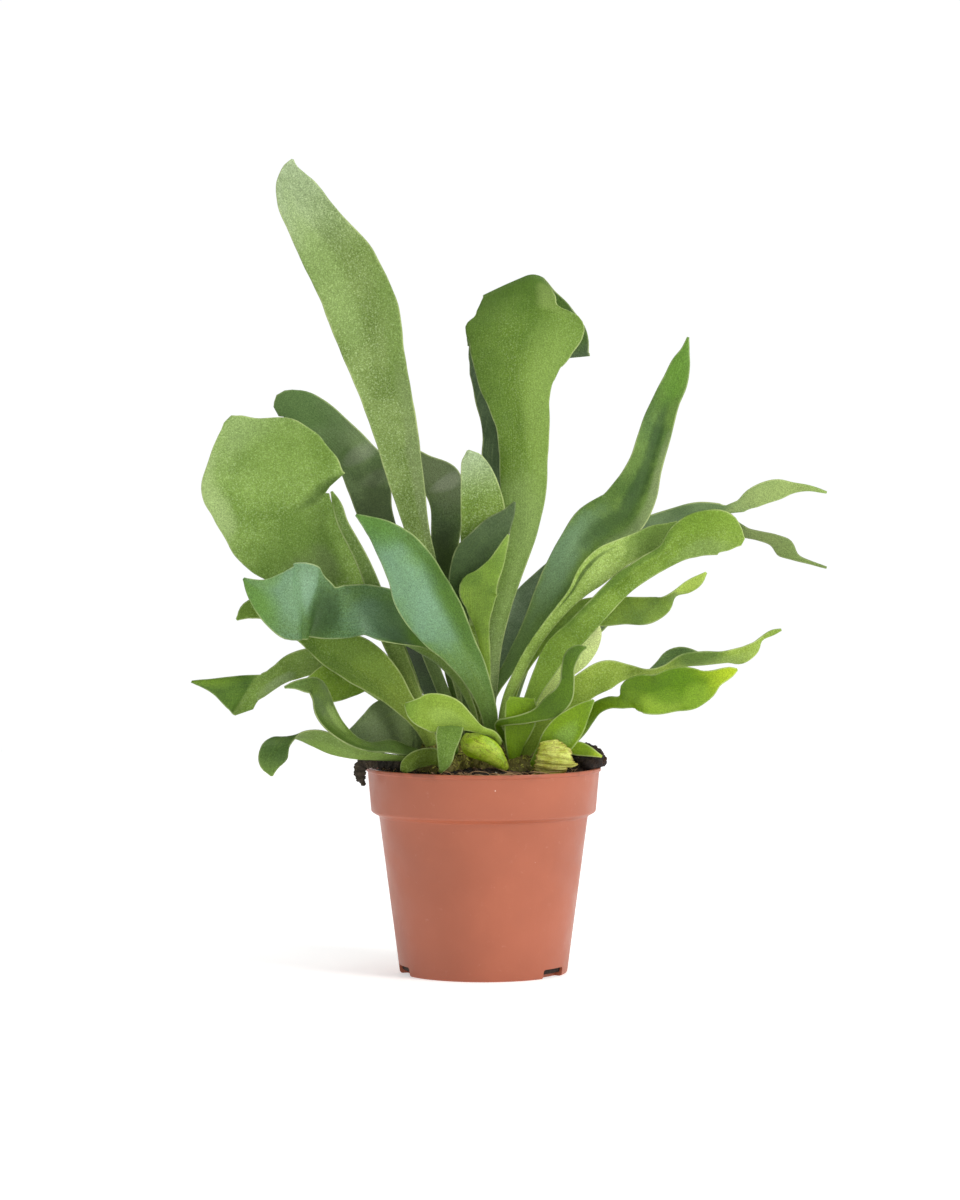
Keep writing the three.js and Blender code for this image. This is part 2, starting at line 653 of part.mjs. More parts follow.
      [52.6, 166.4, -35, 0.6, 0.6, 0],
    ],
  },
  frond_long_right: {
    colour: "greenUnder",
    path: [
      [17, 105, -16, 2.6, 2.6, 20],
      [25.5, 118, -18, 4.6, 3.6, 20],
      [34.5, 129, -19, 6.8, 5, 20],
      [43.4, 138.6, -20, 7, 7, 15],
      [53, 147, -21, 7.4, 7, 10],
      [64, 152.6, -21, 7.2, 7.2, 10],
      [74, 153.5, -20, 4.4, 4.4, 35, -10, -10],
      [83, 153, -19, 4, 6, 68, -20, -50],
      [92, 153.8, -18, 5, 13, 76, -50, -90],
      [102, 156.8, -17, 8, 17, 76, -70, -105],
      [113, 158, -17, 8.6, 12, 72, -70, -80],
      [124, 159.8, -18, 6, 6, 55, -45, -45],
      [133.6, 162.8, -18, 4.2, 4, 15],
      [138.4, 166.2, -18, 3.4, 3.4, 30],
      [141.6, 170.4, -18, 1.6, 1.6, 50],
      [147, 173.6, -19, 1.6, 1.6, 30],
      [152.2, 175.4, -19, 0.6, 0.6, 0],
    ],
  },
  frond_bright_right: {
    colour: "brightTop",
    path: [
      [22, 106, -11, 2.5, 2.5, 0],
      [33, 113, -12, 2.6, 2.6, 0],
      [43, 118, -13, 3, 3, 0],
      [49.6, 124.2, -14, 3, 3, 0],
      [53.6, 130, -16, 3, 3, 0],
      [57.6, 135, -20, 3, 3, 0],
      [64.4, 138.2, -25, 2.8, 3, 0],
      [71, 139, -30, 3, 4, 0],
      [75.4, 141.4, -33, 8, 7.4, 0, 5, 5],
      [80, 142.4, -35, 9.3, 9.3, 0, 5, 5],
      [88, 142.2, -37, 9.8, 10, 0, 8, 8],
      [98, 144.8, -39, 10.6, 10.8, 0, 8, 8],
      [106.6, 145.8, -40, 10.2, 10.6, 0, 5, 5],
      [113.4, 147.6, -41, 7.4, 7.6, 0],
      [118.6, 150.4, -41, 4.4, 4.4, 0],
      [124.4, 153, -41, 3, 3, 0],
      [128, 154.4, -41, 1.8, 1.8, 0],
      [129.8, 155, -41, 0.6, 0.6, 0],
    ],
  },
  frond_short_right: {
    colour: "greenTop",
    path: [
      [26, 105, -26.6, 3, 3, 0],
      [31, 110, -29, 5.6, 4.8, 0],
      [35.6, 114.5, -31, 8.4, 6.4, 0],
      [40.6, 120.6, -32, 9.4, 7.2, 0, 0, 10],
      [45.6, 127, -32, 8, 6.6, 0, 0, 15],
      [50, 132.6, -32, 5.2, 4.4, 0, 0, 10],
      [53.5, 136.4, -32, 2.8, 2.4],
      [56.4, 139.4, -32, 0.6, 0.6],
    ],
  },
  frond_rim_right: {
    colour: "brightTop",
    path: [
      [27, 103, -14, 2, 2, 0],
      [32, 108.4, -18, 2, 2, 0],
      [38, 113, -20.6, 2, 2, 0],
      [44, 114.8, -22, 3, 3, 0],
      [49, 114.4, -22, 3.4, 3.4, 0],
      [54, 113, -22, 2.4, 2.4, 0],
      [58, 111.4, -22, 1.2, 1.2, 0],
      [60.6, 110.4, -22, 0.6, 0.6, 0],
    ],
  },
  leaf_dead: {
    colour: "dead",
    path: [
      [-40, 105, -17, 3, 3, 60],
      [-46, 107.4, -20, 4, 4, 40],
      [-54, 108, -20, 3.6, 3.6, 30],
      [-60, 107.8, -20.5, 3.4, 3.4, 10],
      [-63, 104.6, -21, 3, 3, 0],
      [-63, 100, -21.5, 2.6, 2.4, 0],
      [-61, 95.4, -21.5, 0.7, 0.7, 0],
    ],
  },
  frond_back_left: {
    colour: "greenTop",
    across: [0.9, 0.4, 0],
    path: [
      [-10, 110, 24, 3, 3, 0],
      [-17, 124, 34, 3, 3, 0],
      [-26, 142, 52, 5, 5, 0, 5, 5],
      [-35, 160, 74, 9, 9, 0, 10, 10],
      [-44, 172, 96, 12, 12, 0, 10, 10],
      [-50, 177, 116, 9, 9, 0, 10, 10],
      [-54, 177, 132, 4, 4, 0],
      [-56, 175, 140, 0.6, 0.6, 0],
    ],
  },
  frond_back_middle: {
    colour: "tealTop",
    across: [1, 0, 0],
    path: [
      [0, 113, 20, 3, 3, 0],
      [-2, 122.4, 26, 3, 3, 0],
      [-4, 132, 33, 3, 3, 0],
      [-10, 156, 48, 5, 5, 0, 5, 5],
      [-16, 184, 68, 9, 9, 0, 10, 10],
      [-20, 204, 90, 12, 12, 0, 10, 10],
      [-21, 214, 112, 9, 9, 0, 10, 10],
      [-22, 216, 128, 4, 4, 0],
      [-22, 215, 138, 0.6, 0.6, 0],
    ],
  },
  frond_back_right: {
    colour: "greenTop",
    across: [0.9, -0.4, 0],
    path: [
      [13, 108, 12, 3, 3, 0],
      [18.5, 118, 24, 3, 3, 0],
      [23, 126, 34, 3, 3, 0],
      [32, 146, 54, 5, 5, 0, 5, 5],
      [45, 166, 78, 9, 9, 0, 10, 10],
      [56, 178, 100, 10, 10, 0, 10, 10],
      [64, 184, 120, 7, 7, 0, 5, 5],
      [69, 186, 136, 3, 3, 0],
      [71, 186, 144, 0.6, 0.6, 0],
    ],
  },
  frond_back_low: {
    colour: "greenUnder",
    across: [0.94, -0.3, 0],
    path: [
      [22, 108, 6, 3, 3, 0],
      [28, 114, 20, 3, 3, 0],
      [33, 120, 34, 3, 3, 0],
      [38, 128, 50, 6, 6, 0, 5, 5],
      [43, 135, 68, 9, 9, 0, 10, 10],
      [48, 142, 86, 7, 7, 0, 5, 5],
      [51, 146, 98, 3, 3, 0],
      [53, 148, 106, 0.6, 0.6, 0],
    ],
  },
  shield_back: {
    colour: "dry",
    across: [1, 0, 0],
    path: [
      [0, 103, 37, 12, 12, 0, -30, -30],
      [0, 107, 38, 13.6, 13.6, 0, -30, -30],
      [0, 111.6, 38.6, 14, 14, 0, -30, -30],
      [0, 115, 37, 12, 12, 0, -30, -30],
      [0, 117.6, 34, 6, 6, 0, -20, -20],
    ],
  },
};

// Rhizome
const RHIZOME_LUMPS = [
  { centre: [-21, -7, 106], radii: [14, 25, 14], seed: 3 },
  { centre: [1, 4, 107], radii: [17, 24, 15.5], seed: 7 },
  { centre: [18, -6, 102], radii: [14, 23, 13], seed: 11 },
];
const RHIZOME_ROUGHNESS = 0.05;
const LUMP_RINGS = 8;
const LUMP_SEGMENTS = 12;

function noise(a, b, seed) {
  const value = Math.sin(a * 12.9898 + b * 78.233 + seed * 37.719) * 43758.5453;
  return (value - Math.floor(value)) * 2 - 1;
}

function toManifold(points, triangles) {
  const mesh = new wasm.Mesh({
    numProp: 3,
    vertProperties: new Float32Array(points.flat()),
    triVerts: new Uint32Array(triangles.flat()),
  });
  return new wasm.Manifold(mesh);
}

function largestBody(solid) {
  const bodies = solid.decompose();
  bodies.sort((a, b) => b.volume() - a.volume());
  return bodies[0];
}

function toMesh(name, solid, colour, roughness) {
  const source = solid.getMesh();
  const positions = new Float32Array(source.numVert * 3);
  for (let i = 0; i < source.numVert; i += 1) {
    for (let k = 0; k < 3; k += 1) {
      positions[i * 3 + k] = source.vertProperties[i * source.numProp + k];
    }
  }
  const geometry = new THREE.BufferGeometry();
  geometry.setAttribute("position", new THREE.BufferAttribute(positions, 3));
  geometry.setIndex(new THREE.BufferAttribute(new Uint32Array(source.triVerts), 1));
  geometry.computeVertexNormals();
  const material = new THREE.MeshStandardMaterial({ color: COLOURS[colour], roughness, metalness: 0 });
  const mesh = new THREE.Mesh(geometry, material);
  mesh.name = name;
  return mesh;
}

// Turns a closed profile of [radius, z] about the Z axis; a radius of zero is a pole.
function turned(profile, segments) {
  const points = [];
  const rings = profile.map(([radius, z]) => {
    const start = points.length;
    const count = radius === 0 ? 1 : segments;
    for (let i = 0; i < count; i += 1) {
      const angle = (i / segments) * Math.PI * 2;
      points.push([radius * Math.cos(angle), radius * Math.sin(angle), z]);
    }
    return { start, count };
  });
  const triangles = [];
  for (let k = 0; k < rings.length - 1; k += 1) {
    const low = rings[k];
    const high = rings[k + 1];
    for (let i = 0; i < segments; i += 1) {
      const next = (i + 1) % segments;
      if (low.count > 1) {
        triangles.push([low.start + i, low.start + next, high.start + (high.count > 1 ? next : 0)]);
      }
      if (high.count > 1) {
        triangles.push([low.start + (low.count > 1 ? i : 0), high.start + next, high.start + i]);
      }
    }
  }
  return toManifold(points, triangles);
}

function block(halfX, halfY, low, high, centre, angle) {
  const geometry = new THREE.BoxGeometry(halfX * 2, halfY * 2, high - low);
  geometry.translate(centre[0], centre[1], (low + high) / 2);
  geometry.rotateZ(angle);
  const source = geometry.getAttribute("position");
  const keys = new Map();
  const points = [];
  const merged = [];
  for (let i = 0; i < source.count; i += 1) {
    const point = [source.getX(i), source.getY(i), source.getZ(i)];
    const key = point.map((value) => value.toFixed(4)).join(",");
    if (!keys.has(key)) {
      keys.set(key, points.length);
      points.push(point);
    }
    merged.push(keys.get(key));
  }
  const index = geometry.getIndex();
  const triangles = [];
  for (let i = 0; i < index.count; i += 3) {
    triangles.push([merged[index.getX(i)], merged[index.getX(i + 1)], merged[index.getX(i + 2)]]);
  }
  return toManifold(points, triangles);
}

function makePot() {
  const lipZ = POT_HEIGHT - LIP_HEIGHT;
  const collarTop = RIM_RADIUS - LIP_PROUD;
  const shell = turned(
    [
      [0, 0],
      [BASE_RADIUS - BASE_CHAMFER, 0],
      [BASE_RADIUS, BASE_CHAMFER],
      [BODY_TOP_RADIUS, BODY_TOP_Z],
      [COLLAR_BOTTOM_RADIUS, COLLAR_BOTTOM_Z],
      [collarTop, lipZ],
      [RIM_RADIUS, lipZ + LIP_PROUD / 2],
      [RIM_RADIUS, POT_HEIGHT - LIP_PROUD / 2],
      [RIM_RADIUS - LIP_PROUD / 2, POT_HEIGHT],
      [collarTop - WALL, POT_HEIGHT],
      [COLLAR_BOTTOM_RADIUS - WALL, COLLAR_BOTTOM_Z + WALL / 2],
      [BODY_TOP_RADIUS - WALL, BODY_TOP_Z + WALL / 2],
      [BASE_RADIUS - WALL, FLOOR],
      [0, FLOOR],
    ],
    POT_SEGMENTS,
  );
  let pot = shell;
  for (const degrees of NOTCH_ANGLES) {
    const angle = (degrees * Math.PI) / 180;
    const cutter = block(NOTCH_DEPTH, NOTCH_HALF_WIDTH, -1, NOTCH_HEIGHT, [BASE_RADIUS, 0], angle);
    pot = pot.subtract(cutter);
  }
  return pot;
}

function lump({ centre, radii, seed }, extra, roughness) {
  const rings = LUMP_RINGS;
  const around = LUMP_SEGMENTS;
  const points = [[centre[0], centre[1], centre[2] - radii[2] - extra]];
  for (let i = 1; i < rings; i += 1) {
    const polar = (i / rings) * Math.PI;
    for (let j = 0; j < around; j += 1) {
      const angle = (j / around) * Math.PI * 2;
      const swell = 1 + roughness * noise(i, j, seed);
      const direction = [
        Math.sin(polar) * Math.cos(angle),
        Math.sin(polar) * Math.sin(angle),
        -Math.cos(polar),
      ];
      points.push(direction.map((value, k) => centre[k] + value * (radii[k] * swell + extra)));
    }
  }
  const top = points.length;
  points.push([centre[0], centre[1], centre[2] + radii[2] + extra]);
  const triangles = [];
  for (let j = 0; j < around; j += 1) {
    const next = (j + 1) % around;
    triangles.push([0, 1 + next, 1 + j]);
    for (let i = 0; i < rings - 2; i += 1) {
      const low = 1 + i * around;
      const high = low + around;
      triangles.push([low + j, low + next, high + next]);
      triangles.push([low + j, high + next, high + j]);
    }
    const last = 1 + (rings - 2) * around;
    triangles.push([last + j, last + next, top]);
  }
  return toManifold(points, triangles);
}

function makeRhizome(extra) {
  const lumps = RHIZOME_LUMPS.map((entry) => lump(entry, extra, RHIZOME_ROUGHNESS));
  return lumps.reduce((a, b) => a.add(b));
}

// Soil surface height at a distance from the axis and an angle.
function soilHeight(radius, angle) {
  const x = radius * Math.cos(angle);
  const y = radius * Math.sin(angle);
  const rise = SOIL_CROWN_RISE * Math.cos(Math.min(1, radius / RIM_RADIUS) * SOIL_CROWN_TURN);
  const { centre, spread } = SOIL_SWELL;
  const swell = Math.exp(-(((x - centre[0]) / spread[0]) ** 2) - ((y - centre[1]) / spread[1]) ** 2);
  const [first, second] = SOIL_ROUGHNESS_WAVES;
  const rough = Math.sin(x * first[0] + y * first[1]) + Math.sin(x * second[0] + y * second[1]);
  return SOIL_EDGE_Z + rise + SOIL_SWELL.rise * swell + SOIL_ROUGHNESS * rough;
}

// Ring round the pot's rim that the heaped soil has to keep clear of.
function makeRimClearance() {
  const inner = COLLAR_BOTTOM_RADIUS - WALL - WALL_GAP;
  const rise = (RIM_RADIUS - LIP_PROUD - COLLAR_BOTTOM_RADIUS) / (POT_HEIGHT - COLLAR_BOTTOM_Z);
  const top = POT_HEIGHT + GAP;
  const topRadius = inner + (top - COLLAR_BOTTOM_Z) * rise;
  const outer = RIM_RADIUS + CLEARANCE_WIDTH;
  const low = BODY_TOP_Z - CLEARANCE_DEPTH;
  const cover = turned([[0, low], [outer, low], [outer, top], [0, top]], SOIL_SEGMENTS);
  const bottom = low - 1;
  const profile = [
    [0, bottom],
    [inner, bottom],
    [inner, COLLAR_BOTTOM_Z],
    [topRadius, top + GAP],
    [0, top + GAP],
  ];
  return cover.subtract(turned(profile, SOIL_SEGMENTS));
}

function makeSoil() {
  const innerSlope = (RIM_RADIUS - LIP_PROUD - COLLAR_BOTTOM_RADIUS) / (POT_HEIGHT - COLLAR_BOTTOM_Z);
  const collarInner = COLLAR_BOTTOM_RADIUS - WALL - WALL_GAP;
  const wallRadius = (z) => collarInner + (z - COLLAR_BOTTOM_Z) * innerSlope;
  const points = [[0, 0, soilHeight(0, 0)]];
  const ring = (radiusOf, heightOf) => {
    const start = points.length;
    for (let i = 0; i < SOIL_SEGMENTS; i += 1) {
      const angle = (i / SOIL_SEGMENTS) * Math.PI * 2;
      const z = heightOf(angle);
      const radius = radiusOf(z);
      points.push([radius * Math.cos(angle), radius * Math.sin(angle), z]);
    }
    return start;
  };
  const starts = SOIL_RINGS.map((radius) => ring(() => radius, (angle) => soilHeight(radius, angle)));
  starts.push(ring(wallRadius, (angle) => soilHeight(SOIL_OUTER_RADIUS, angle)));
  starts.push(ring(() => COLLAR_BOTTOM_RADIUS - WALL - WALL_GAP, () => COLLAR_BOTTOM_Z + WALL));
  starts.push(ring(() => BODY_TOP_RADIUS - WALL - WALL_GAP, () => BODY_TOP_Z + WALL));
  starts.push(ring(() => BASE_RADIUS - WALL - FLOOR_GAP, () => FLOOR + GAP));
  const triangles = [];
  for (let i = 0; i < SOIL_SEGMENTS; i += 1) {
    const next = (i + 1) % SOIL_SEGMENTS;
    triangles.push([0, starts[0] + i, starts[0] + next]);
    for (let k = 0; k < starts.length - 1; k += 1) {
      triangles.push([starts[k] + i, starts[k + 1] + i, starts[k + 1] + next]);
      triangles.push([starts[k] + i, starts[k + 1] + next, starts[k] + next]);
    }
  }
  const last = starts[starts.length - 1];
  const bottom = points.length;
  points.push([0, 0, FLOOR + GAP]);
  for (let i = 0; i < SOIL_SEGMENTS; i += 1) {
    triangles.push([bottom, last + ((i + 1) % SOIL_SEGMENTS), last + i]);
  }
  const bed = toManifold(points, triangles);
  return bed.add(lump(SOIL_HEAP, 0, SOIL_HEAP_ROUGHNESS)).subtract(makeRimClearance());
}

// Smooth curve through stations, with a parameter that follows the distance between them.
function makeCurve(path) {
  const stations = path.map((row) => [0, 1, 2, 3, 4, 5, 6, 7, 8].map((k) => row[k] ?? 0));
  const knots = [0];
  for (let i = 1; i < stations.length; i += 1) {
    const [x0, z0, y0] = stations[i - 1];
    const [x1, z1, y1] = stations[i];
    knots.push(knots[i - 1] + Math.hypot(x1 - x0, z1 - z0, y1 - y0));
  }
  const slopes = stations.map((row, i) => {
    const before = Math.max(0, i - 1);
    const after = Math.min(stations.length - 1, i + 1);
    return row.map((value, k) => {
      if (before === i || after === i) {
        return (stations[after][k] - stations[before][k]) / (knots[after] - knots[before]);
      }
      const back = (value - stations[before][k]) / (knots[i] - knots[before]);
      const ahead = (stations[after][k] - value) / (knots[after] - knots[i]);
      const share = (knots[i] - knots[before]) / (knots[after] - knots[before]);
      return back * (1 - share) + ahead * share;
    });
  });
  const at = (t) => {
    let i = 0;
    while (i < knots.length - 2 && t > knots[i + 1]) {
      i += 1;
    }
    const span = knots[i + 1] - knots[i];
    const u = (t - knots[i]) / span;
    const a = 2 * u ** 3 - 3 * u ** 2 + 1;
    const b = u ** 3 - 2 * u ** 2 + u;
    const c = 3 * u ** 2 - 2 * u ** 3;
    const d = u ** 3 - u ** 2;
    return stations[i].map((value, k) => {
      const start = a * value + b * span * slopes[i][k];
      return start + c * stations[i + 1][k] + d * span * slopes[i + 1][k];
    });
  };
  return { knots, at };
}

function seenToReal([x, z, y]) {
  const spread = 1 + y / VIEW_DISTANCE;
  return new THREE.Vector3(VIEW_X + (x - VIEW_X) * spread, y, VIEW_Z + (z - VIEW_Z) * spread);
}

// One cross-section of a blade: its points on the two faces, from the left margin to the right.
function crossSection(curve, t, columns, across, fromRoot) {
  const step = 0.05;
  const end = curve.knots[curve.knots.length - 1];
  const row = curve.at(t);
  const centre = seenToReal(row);
  const tangent = seenToReal(curve.at(Math.min(end, t + step)));
  tangent.sub(seenToReal(curve.at(Math.max(0, t - step)))).normalize();
  const flat = new THREE.Vector3();
  if (across) {
    const wanted = new THREE.Vector3(...across).normalize();
    flat.copy(wanted).addScaledVector(tangent, -wanted.dot(tangent)).normalize();
  } else {
    flat.crossVectors(tangent, new THREE.Vector3(0, -1, 0)).normalize();
  }
  const turn = (row[5] * Math.PI) / 180;
  const side = flat.clone().multiplyScalar(Math.cos(turn));
  side.addScaledVector(new THREE.Vector3().crossVectors(tangent, flat), Math.sin(turn));
  const normal = new THREE.Vector3().crossVectors(side, tangent).normalize();
  const slant = (row[8] * Math.PI) / 180;
  side.multiplyScalar(Math.cos(slant)).addScaledVector(tangent, Math.sin(slant));
  const stalk = Math.exp(-(fromRoot + t) / STALK_FADE);
  const middle = BLADE_THICKNESS + (STALK_THICKNESS - BLADE_THICKNESS) * stalk;
  const front = [];
  const back = [];
  for (const v of columns) {
    const sign = v < 0 ? -1 : 1;
    const width = Math.max(0.6, v < 0 ? row[3] : row[4]);
    const bend = ((v < 0 ? row[6] : row[7]) * Math.PI) / 180;
    const reach = Math.abs(v);
    const angle = bend * reach;
    const sideways = Math.abs(bend) < 1e-4 ? width * reach : (width * Math.sin(angle)) / bend;
    const lift = Math.abs(bend) < 1e-4 ? 0 : (width * (1 - Math.cos(angle))) / bend;
    const point = centre.clone().addScaledVector(side, sign * sideways).addScaledVector(normal, lift);
    const out = normal.clone().multiplyScalar(Math.cos(angle));
    out.addScaledVector(side, -sign * Math.sin(angle));
    const half = (EDGE_THICKNESS + (middle - EDGE_THICKNESS) * (1 - reach * reach)) / 2;
    front.push(point.clone().addScaledVector(out, half));
    back.push(point.clone().addScaledVector(out, -half));
  }
  return { front, back };
}

function stationsAlong(curve, skipFirst) {
  const list = skipFirst ? [] : [0];
  for (let i = 1; i < curve.knots.length; i += 1) {
    const span = curve.knots[i] - curve.knots[i - 1];
    const parts = Math.max(1, Math.round(span / ROW_STEP));
    for (let k = 1; k <= parts; k += 1) {
      list.push(curve.knots[i - 1] + (span * k) / parts);
    }
  }
  return list;
}

function makeBlade({ path, lobes, across }) {
  const points = [];
  const triangles = [];
  const addRow = ({ front, back }) => {
    const keep = (list) => list.map((point) => points.push(point.toArray()) - 1);
    return { front: keep(front), back: keep(back) };
  };
  const quad = (a, b, c, d) => {
    triangles.push([a, b, c], [a, c, d]);
  };
  const join = (low, high) => {
    const last = low.front.length - 1;
    for (let j = 0; j < last; j += 1) {
      quad(low.front[j], low.front[j + 1], high.front[j + 1], high.front[j]);
      triangles.push([low.back[j], high.back[j + 1], low.back[j + 1]]);
      triangles.push([low.back[j], high.back[j], high.back[j + 1]]);
    }
    quad(low.back[0], low.front[0], high.front[0], high.back[0]);
    quad(low.front[last], low.back[last], high.back[last], high.front[last]);
  };
  const cap = (row, atTip) => {
    for (let j = 0; j < row.front.length - 1; j += 1) {
      const corners = [row.front[j], row.front[j + 1], row.back[j + 1], row.back[j]];
      quad(...(atTip ? corners : corners.reverse()));
    }
  };
  const extend = (curve, first, columns, fromRoot) => {
    let previous = first;
    for (const t of stationsAlong(curve, Boolean(first))) {
      const row = addRow(crossSection(curve, t, columns, across, fromRoot));
      if (previous) {
        join(previous, row);
      } else {
        cap(row, false);
      }
      previous = row;
    }
    return previous;
  };
  const widest = Math.max(...path.map((row) => Math.max(row[3], row[4])));
  const columns = widest < NARROW_LIMIT ? NARROW_COLUMNS : WIDE_COLUMNS;
  const stem = makeCurve(path);
  const end = extend(stem, null, columns, 0);
  if (!lobes) {
    cap(end, true);
    return toManifold(points, triangles);
  }
  const middle = (columns.length - 1) / 2;
  const length = stem.knots[stem.knots.length - 1];
  lobes.forEach((lobe, i) => {
    const half = path[path.length - 1].slice();
    const slice = i === 0 ? [0, middle + 1] : [middle, columns.length];
    const first = { front: end.front.slice(...slice), back: end.back.slice(...slice) };
    const tip = extend(makeCurve([half, ...lobe]), first, NARROW_COLUMNS, length);
    cap(tip, true);
  });
  return toManifold(points, triangles);
}

const group = new THREE.Group();
group.name = "staghorn_fern";
const rhizomeHollow = makeRhizome(GAP);
const soil = largestBody(makeSoil().subtract(rhizomeHollow));
// Space that no leaf may enter, so that the leaves end just above the soil and the rhizome.
const ground = rhizomeHollow.add(soil).add(soil.translate([0, 0, GAP]));
group.add(toMesh("pot", makePot(), "pot", 0.42));
group.add(toMesh("soil", soil, "soil", 0.95));
group.add(toMesh("rhizome", makeRhizome(0), "rhizome", 0.9));
for (const [name, leaf] of Object.entries(LEAVES)) {
  const blade = largestBody(makeBlade(leaf).subtract(ground));
  group.add(toMesh(name, blade, leaf.colour, 0.55));
}

export default group;
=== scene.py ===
import math

import bmesh
import bpy
import numpy as np
from mathutils import Matrix, Vector


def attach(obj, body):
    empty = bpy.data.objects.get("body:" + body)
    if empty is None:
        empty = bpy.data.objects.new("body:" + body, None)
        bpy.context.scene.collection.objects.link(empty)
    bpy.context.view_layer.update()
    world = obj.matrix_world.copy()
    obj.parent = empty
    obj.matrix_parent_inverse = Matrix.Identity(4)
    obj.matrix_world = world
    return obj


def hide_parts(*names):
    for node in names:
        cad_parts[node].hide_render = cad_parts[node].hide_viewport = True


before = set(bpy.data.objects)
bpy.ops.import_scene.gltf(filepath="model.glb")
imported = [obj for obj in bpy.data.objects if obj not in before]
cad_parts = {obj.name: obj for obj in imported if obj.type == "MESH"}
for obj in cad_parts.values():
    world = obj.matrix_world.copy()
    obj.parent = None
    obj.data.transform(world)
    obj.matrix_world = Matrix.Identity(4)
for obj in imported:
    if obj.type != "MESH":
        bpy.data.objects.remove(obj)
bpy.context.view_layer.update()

MM = 0.001
RANDOM_SEED = 7

# Pot, in millimetres
POT_HEIGHT = 105.2
RIM_RADIUS = 60.0
LIP_HEIGHT = 2.1
LIP_PROUD = 0.8
COLLAR_BOTTOM_Z = 82.6
COLLAR_BOTTOM_RADIUS = 57.4
BODY_TOP_Z = 80.4
BODY_TOP_RADIUS = 53.4
BASE_RADIUS = 42.8
WALL = 1.3
FLOOR = 1.8
POT_SEGMENTS = 192
NOTCH_HEIGHT = 4.8
NOTCH_HALF_WIDTH = 8.6
NOTCH_DEPTH = 5.0
NOTCH_BELOW = 4.0
NOTCH_CORNER = 1.1
ARC_STEPS = 4
NOTCH_ANGLES = (-34, -162, 88)
SHARP_ANGLE = 32

# Soil
SOIL_EDGE_Z = 101.6
SOIL_CROWN_RISE = 4.4
SOIL_ROUGHNESS = 0.8
SOIL_RIGHT_RISE = 1.6
SOIL_RIGHT_CENTRE = (52, 2)
SOIL_RIGHT_SIZE = (15, 26)
SOIL_SEGMENTS = 260
SOIL_REACH = 56.0
SOIL_TOP_SPAN = (1.2, 57.0, 52)
SOIL_RIM_RADIUS = 57.35
SOIL_LOWER_RINGS = ((56.0, 96.0), (54.6, 84.0), (51.6, 80.0), (41.4, 2.2), (0.0, 2.2))
SOIL_WAVES = ((0.9, 0.5, 0.28), (-0.6, 1.1, 0.28), (1.9, 1.3, 0.16), (-1.4, 2.3, 0.14), (3.1, -2.2, 0.08))
HEAP_CENTRE = (52.0, 2.0, 106.0)
HEAP_RADII = (11.0, 20.0, 10.0)
HEAP_RINGS = 26
HEAP_SEGMENTS = 56
CRUMB_COUNT = 2600
CRUMB_SPREAD = 56.4
CRUMB_SMALLEST = 0.35
CRUMB_RANGE = 1.35
HEAP_CRUMB_SHARE = 0.2
BROWN_CRUMB_SHARE = 0.25
PERLITE_COUNT = 46
PERLITE_SPREAD = 55.0
LUMP_FLATNESS = 0.7
FIBRE_COUNT = 190
FIBRE_SPREAD = 54.0
FIBRE_STEPS = 8
STRAND_COUNT = 16
STRAND_SPAN = (-20, 34)
STRAND_STEPS = 10
TUBE_SIDES = 5

# Crown
RHIZOME_LUMPS = (
    ((-21, -7, 106), (14, 25, 14)),
    ((1, 4, 107), (17, 24, 15.5)),
    ((18, -6, 102), (14, 23, 13)),
)
CROWN_GRID = 1.0
CROWN_TINT = 0.15
SCALE_COUNT = 1500
SCALE_LOWEST_Z = 101.0
SCALE_FACES = ((0, 1, 2, 3), (3, 2, 4), (0, 3, 5), (1, 5, 2), (0, 5, 1), (3, 4, 5), (2, 5, 4))

# Leaves
ROW_STEP = 1.7
RAGGED_ROW_STEP = 0.4
TANGENT_STEP = 0.4
WIDE_BLADE = 18
MEDIUM_BLADE = 8
NARROWEST = 0.6
EDGE_THICKNESS = 0.6
BLADE_THICKNESS = 1.3
STALK_THICKNESS = 2.4
STALK_FADE = 28.0
WAVE_HEIGHT = 0.8
WAVE_START = 30.0
WAVE_GROWTH = 40.0
TIP_TAPER = 6.0
TIP_CUT = 3.0
RIM_SWELL = 0.26
RIDGE_HEIGHT = 0.35
RIDGE_WIDTH = 1.7
RIDGE_FADE = 110.0
STATION_VALUES = 9
POINT_DATA = ("across", "across_mm", "along_mm", "along", "under", "edge_mm", "tone")

# Camera and light
VIEW_X = -1.8
VIEW_DISTANCE = 1900.0
VIEW_Z = 245.0
TARGET_Z = 190.5
LENS = 111.64
SENSOR_HEIGHT = 36.0
NEAREST_SEEN = 0.05
FARTHEST_SEEN = 30.0
HORIZON_LIGHT = 1.03
SKY_LIGHT = 0.22
SKY_FADE = (0.17, 0.26)
FLOOR_GLOW = 0.5
FLOOR_RADIUS = 1700.0
FLOOR_SIDES = 96
WHITE = (1.0, 1.0, 1.0)
COOL_WHITE = (0.97, 0.99, 1.0)
WARM_WHITE = (1.0, 0.985, 0.96)

rng = np.random.default_rng(RANDOM_SEED)


def srgb(*colour):
    """Linear colour of an sRGB colour given from 0 to 255."""
    shares = [value / 255.0 for value in colour]
    return (*(s / 12.92 if s <= 0.04045 else ((s + 0.055) / 1.055) ** 2.4 for s in shares), 1.0)


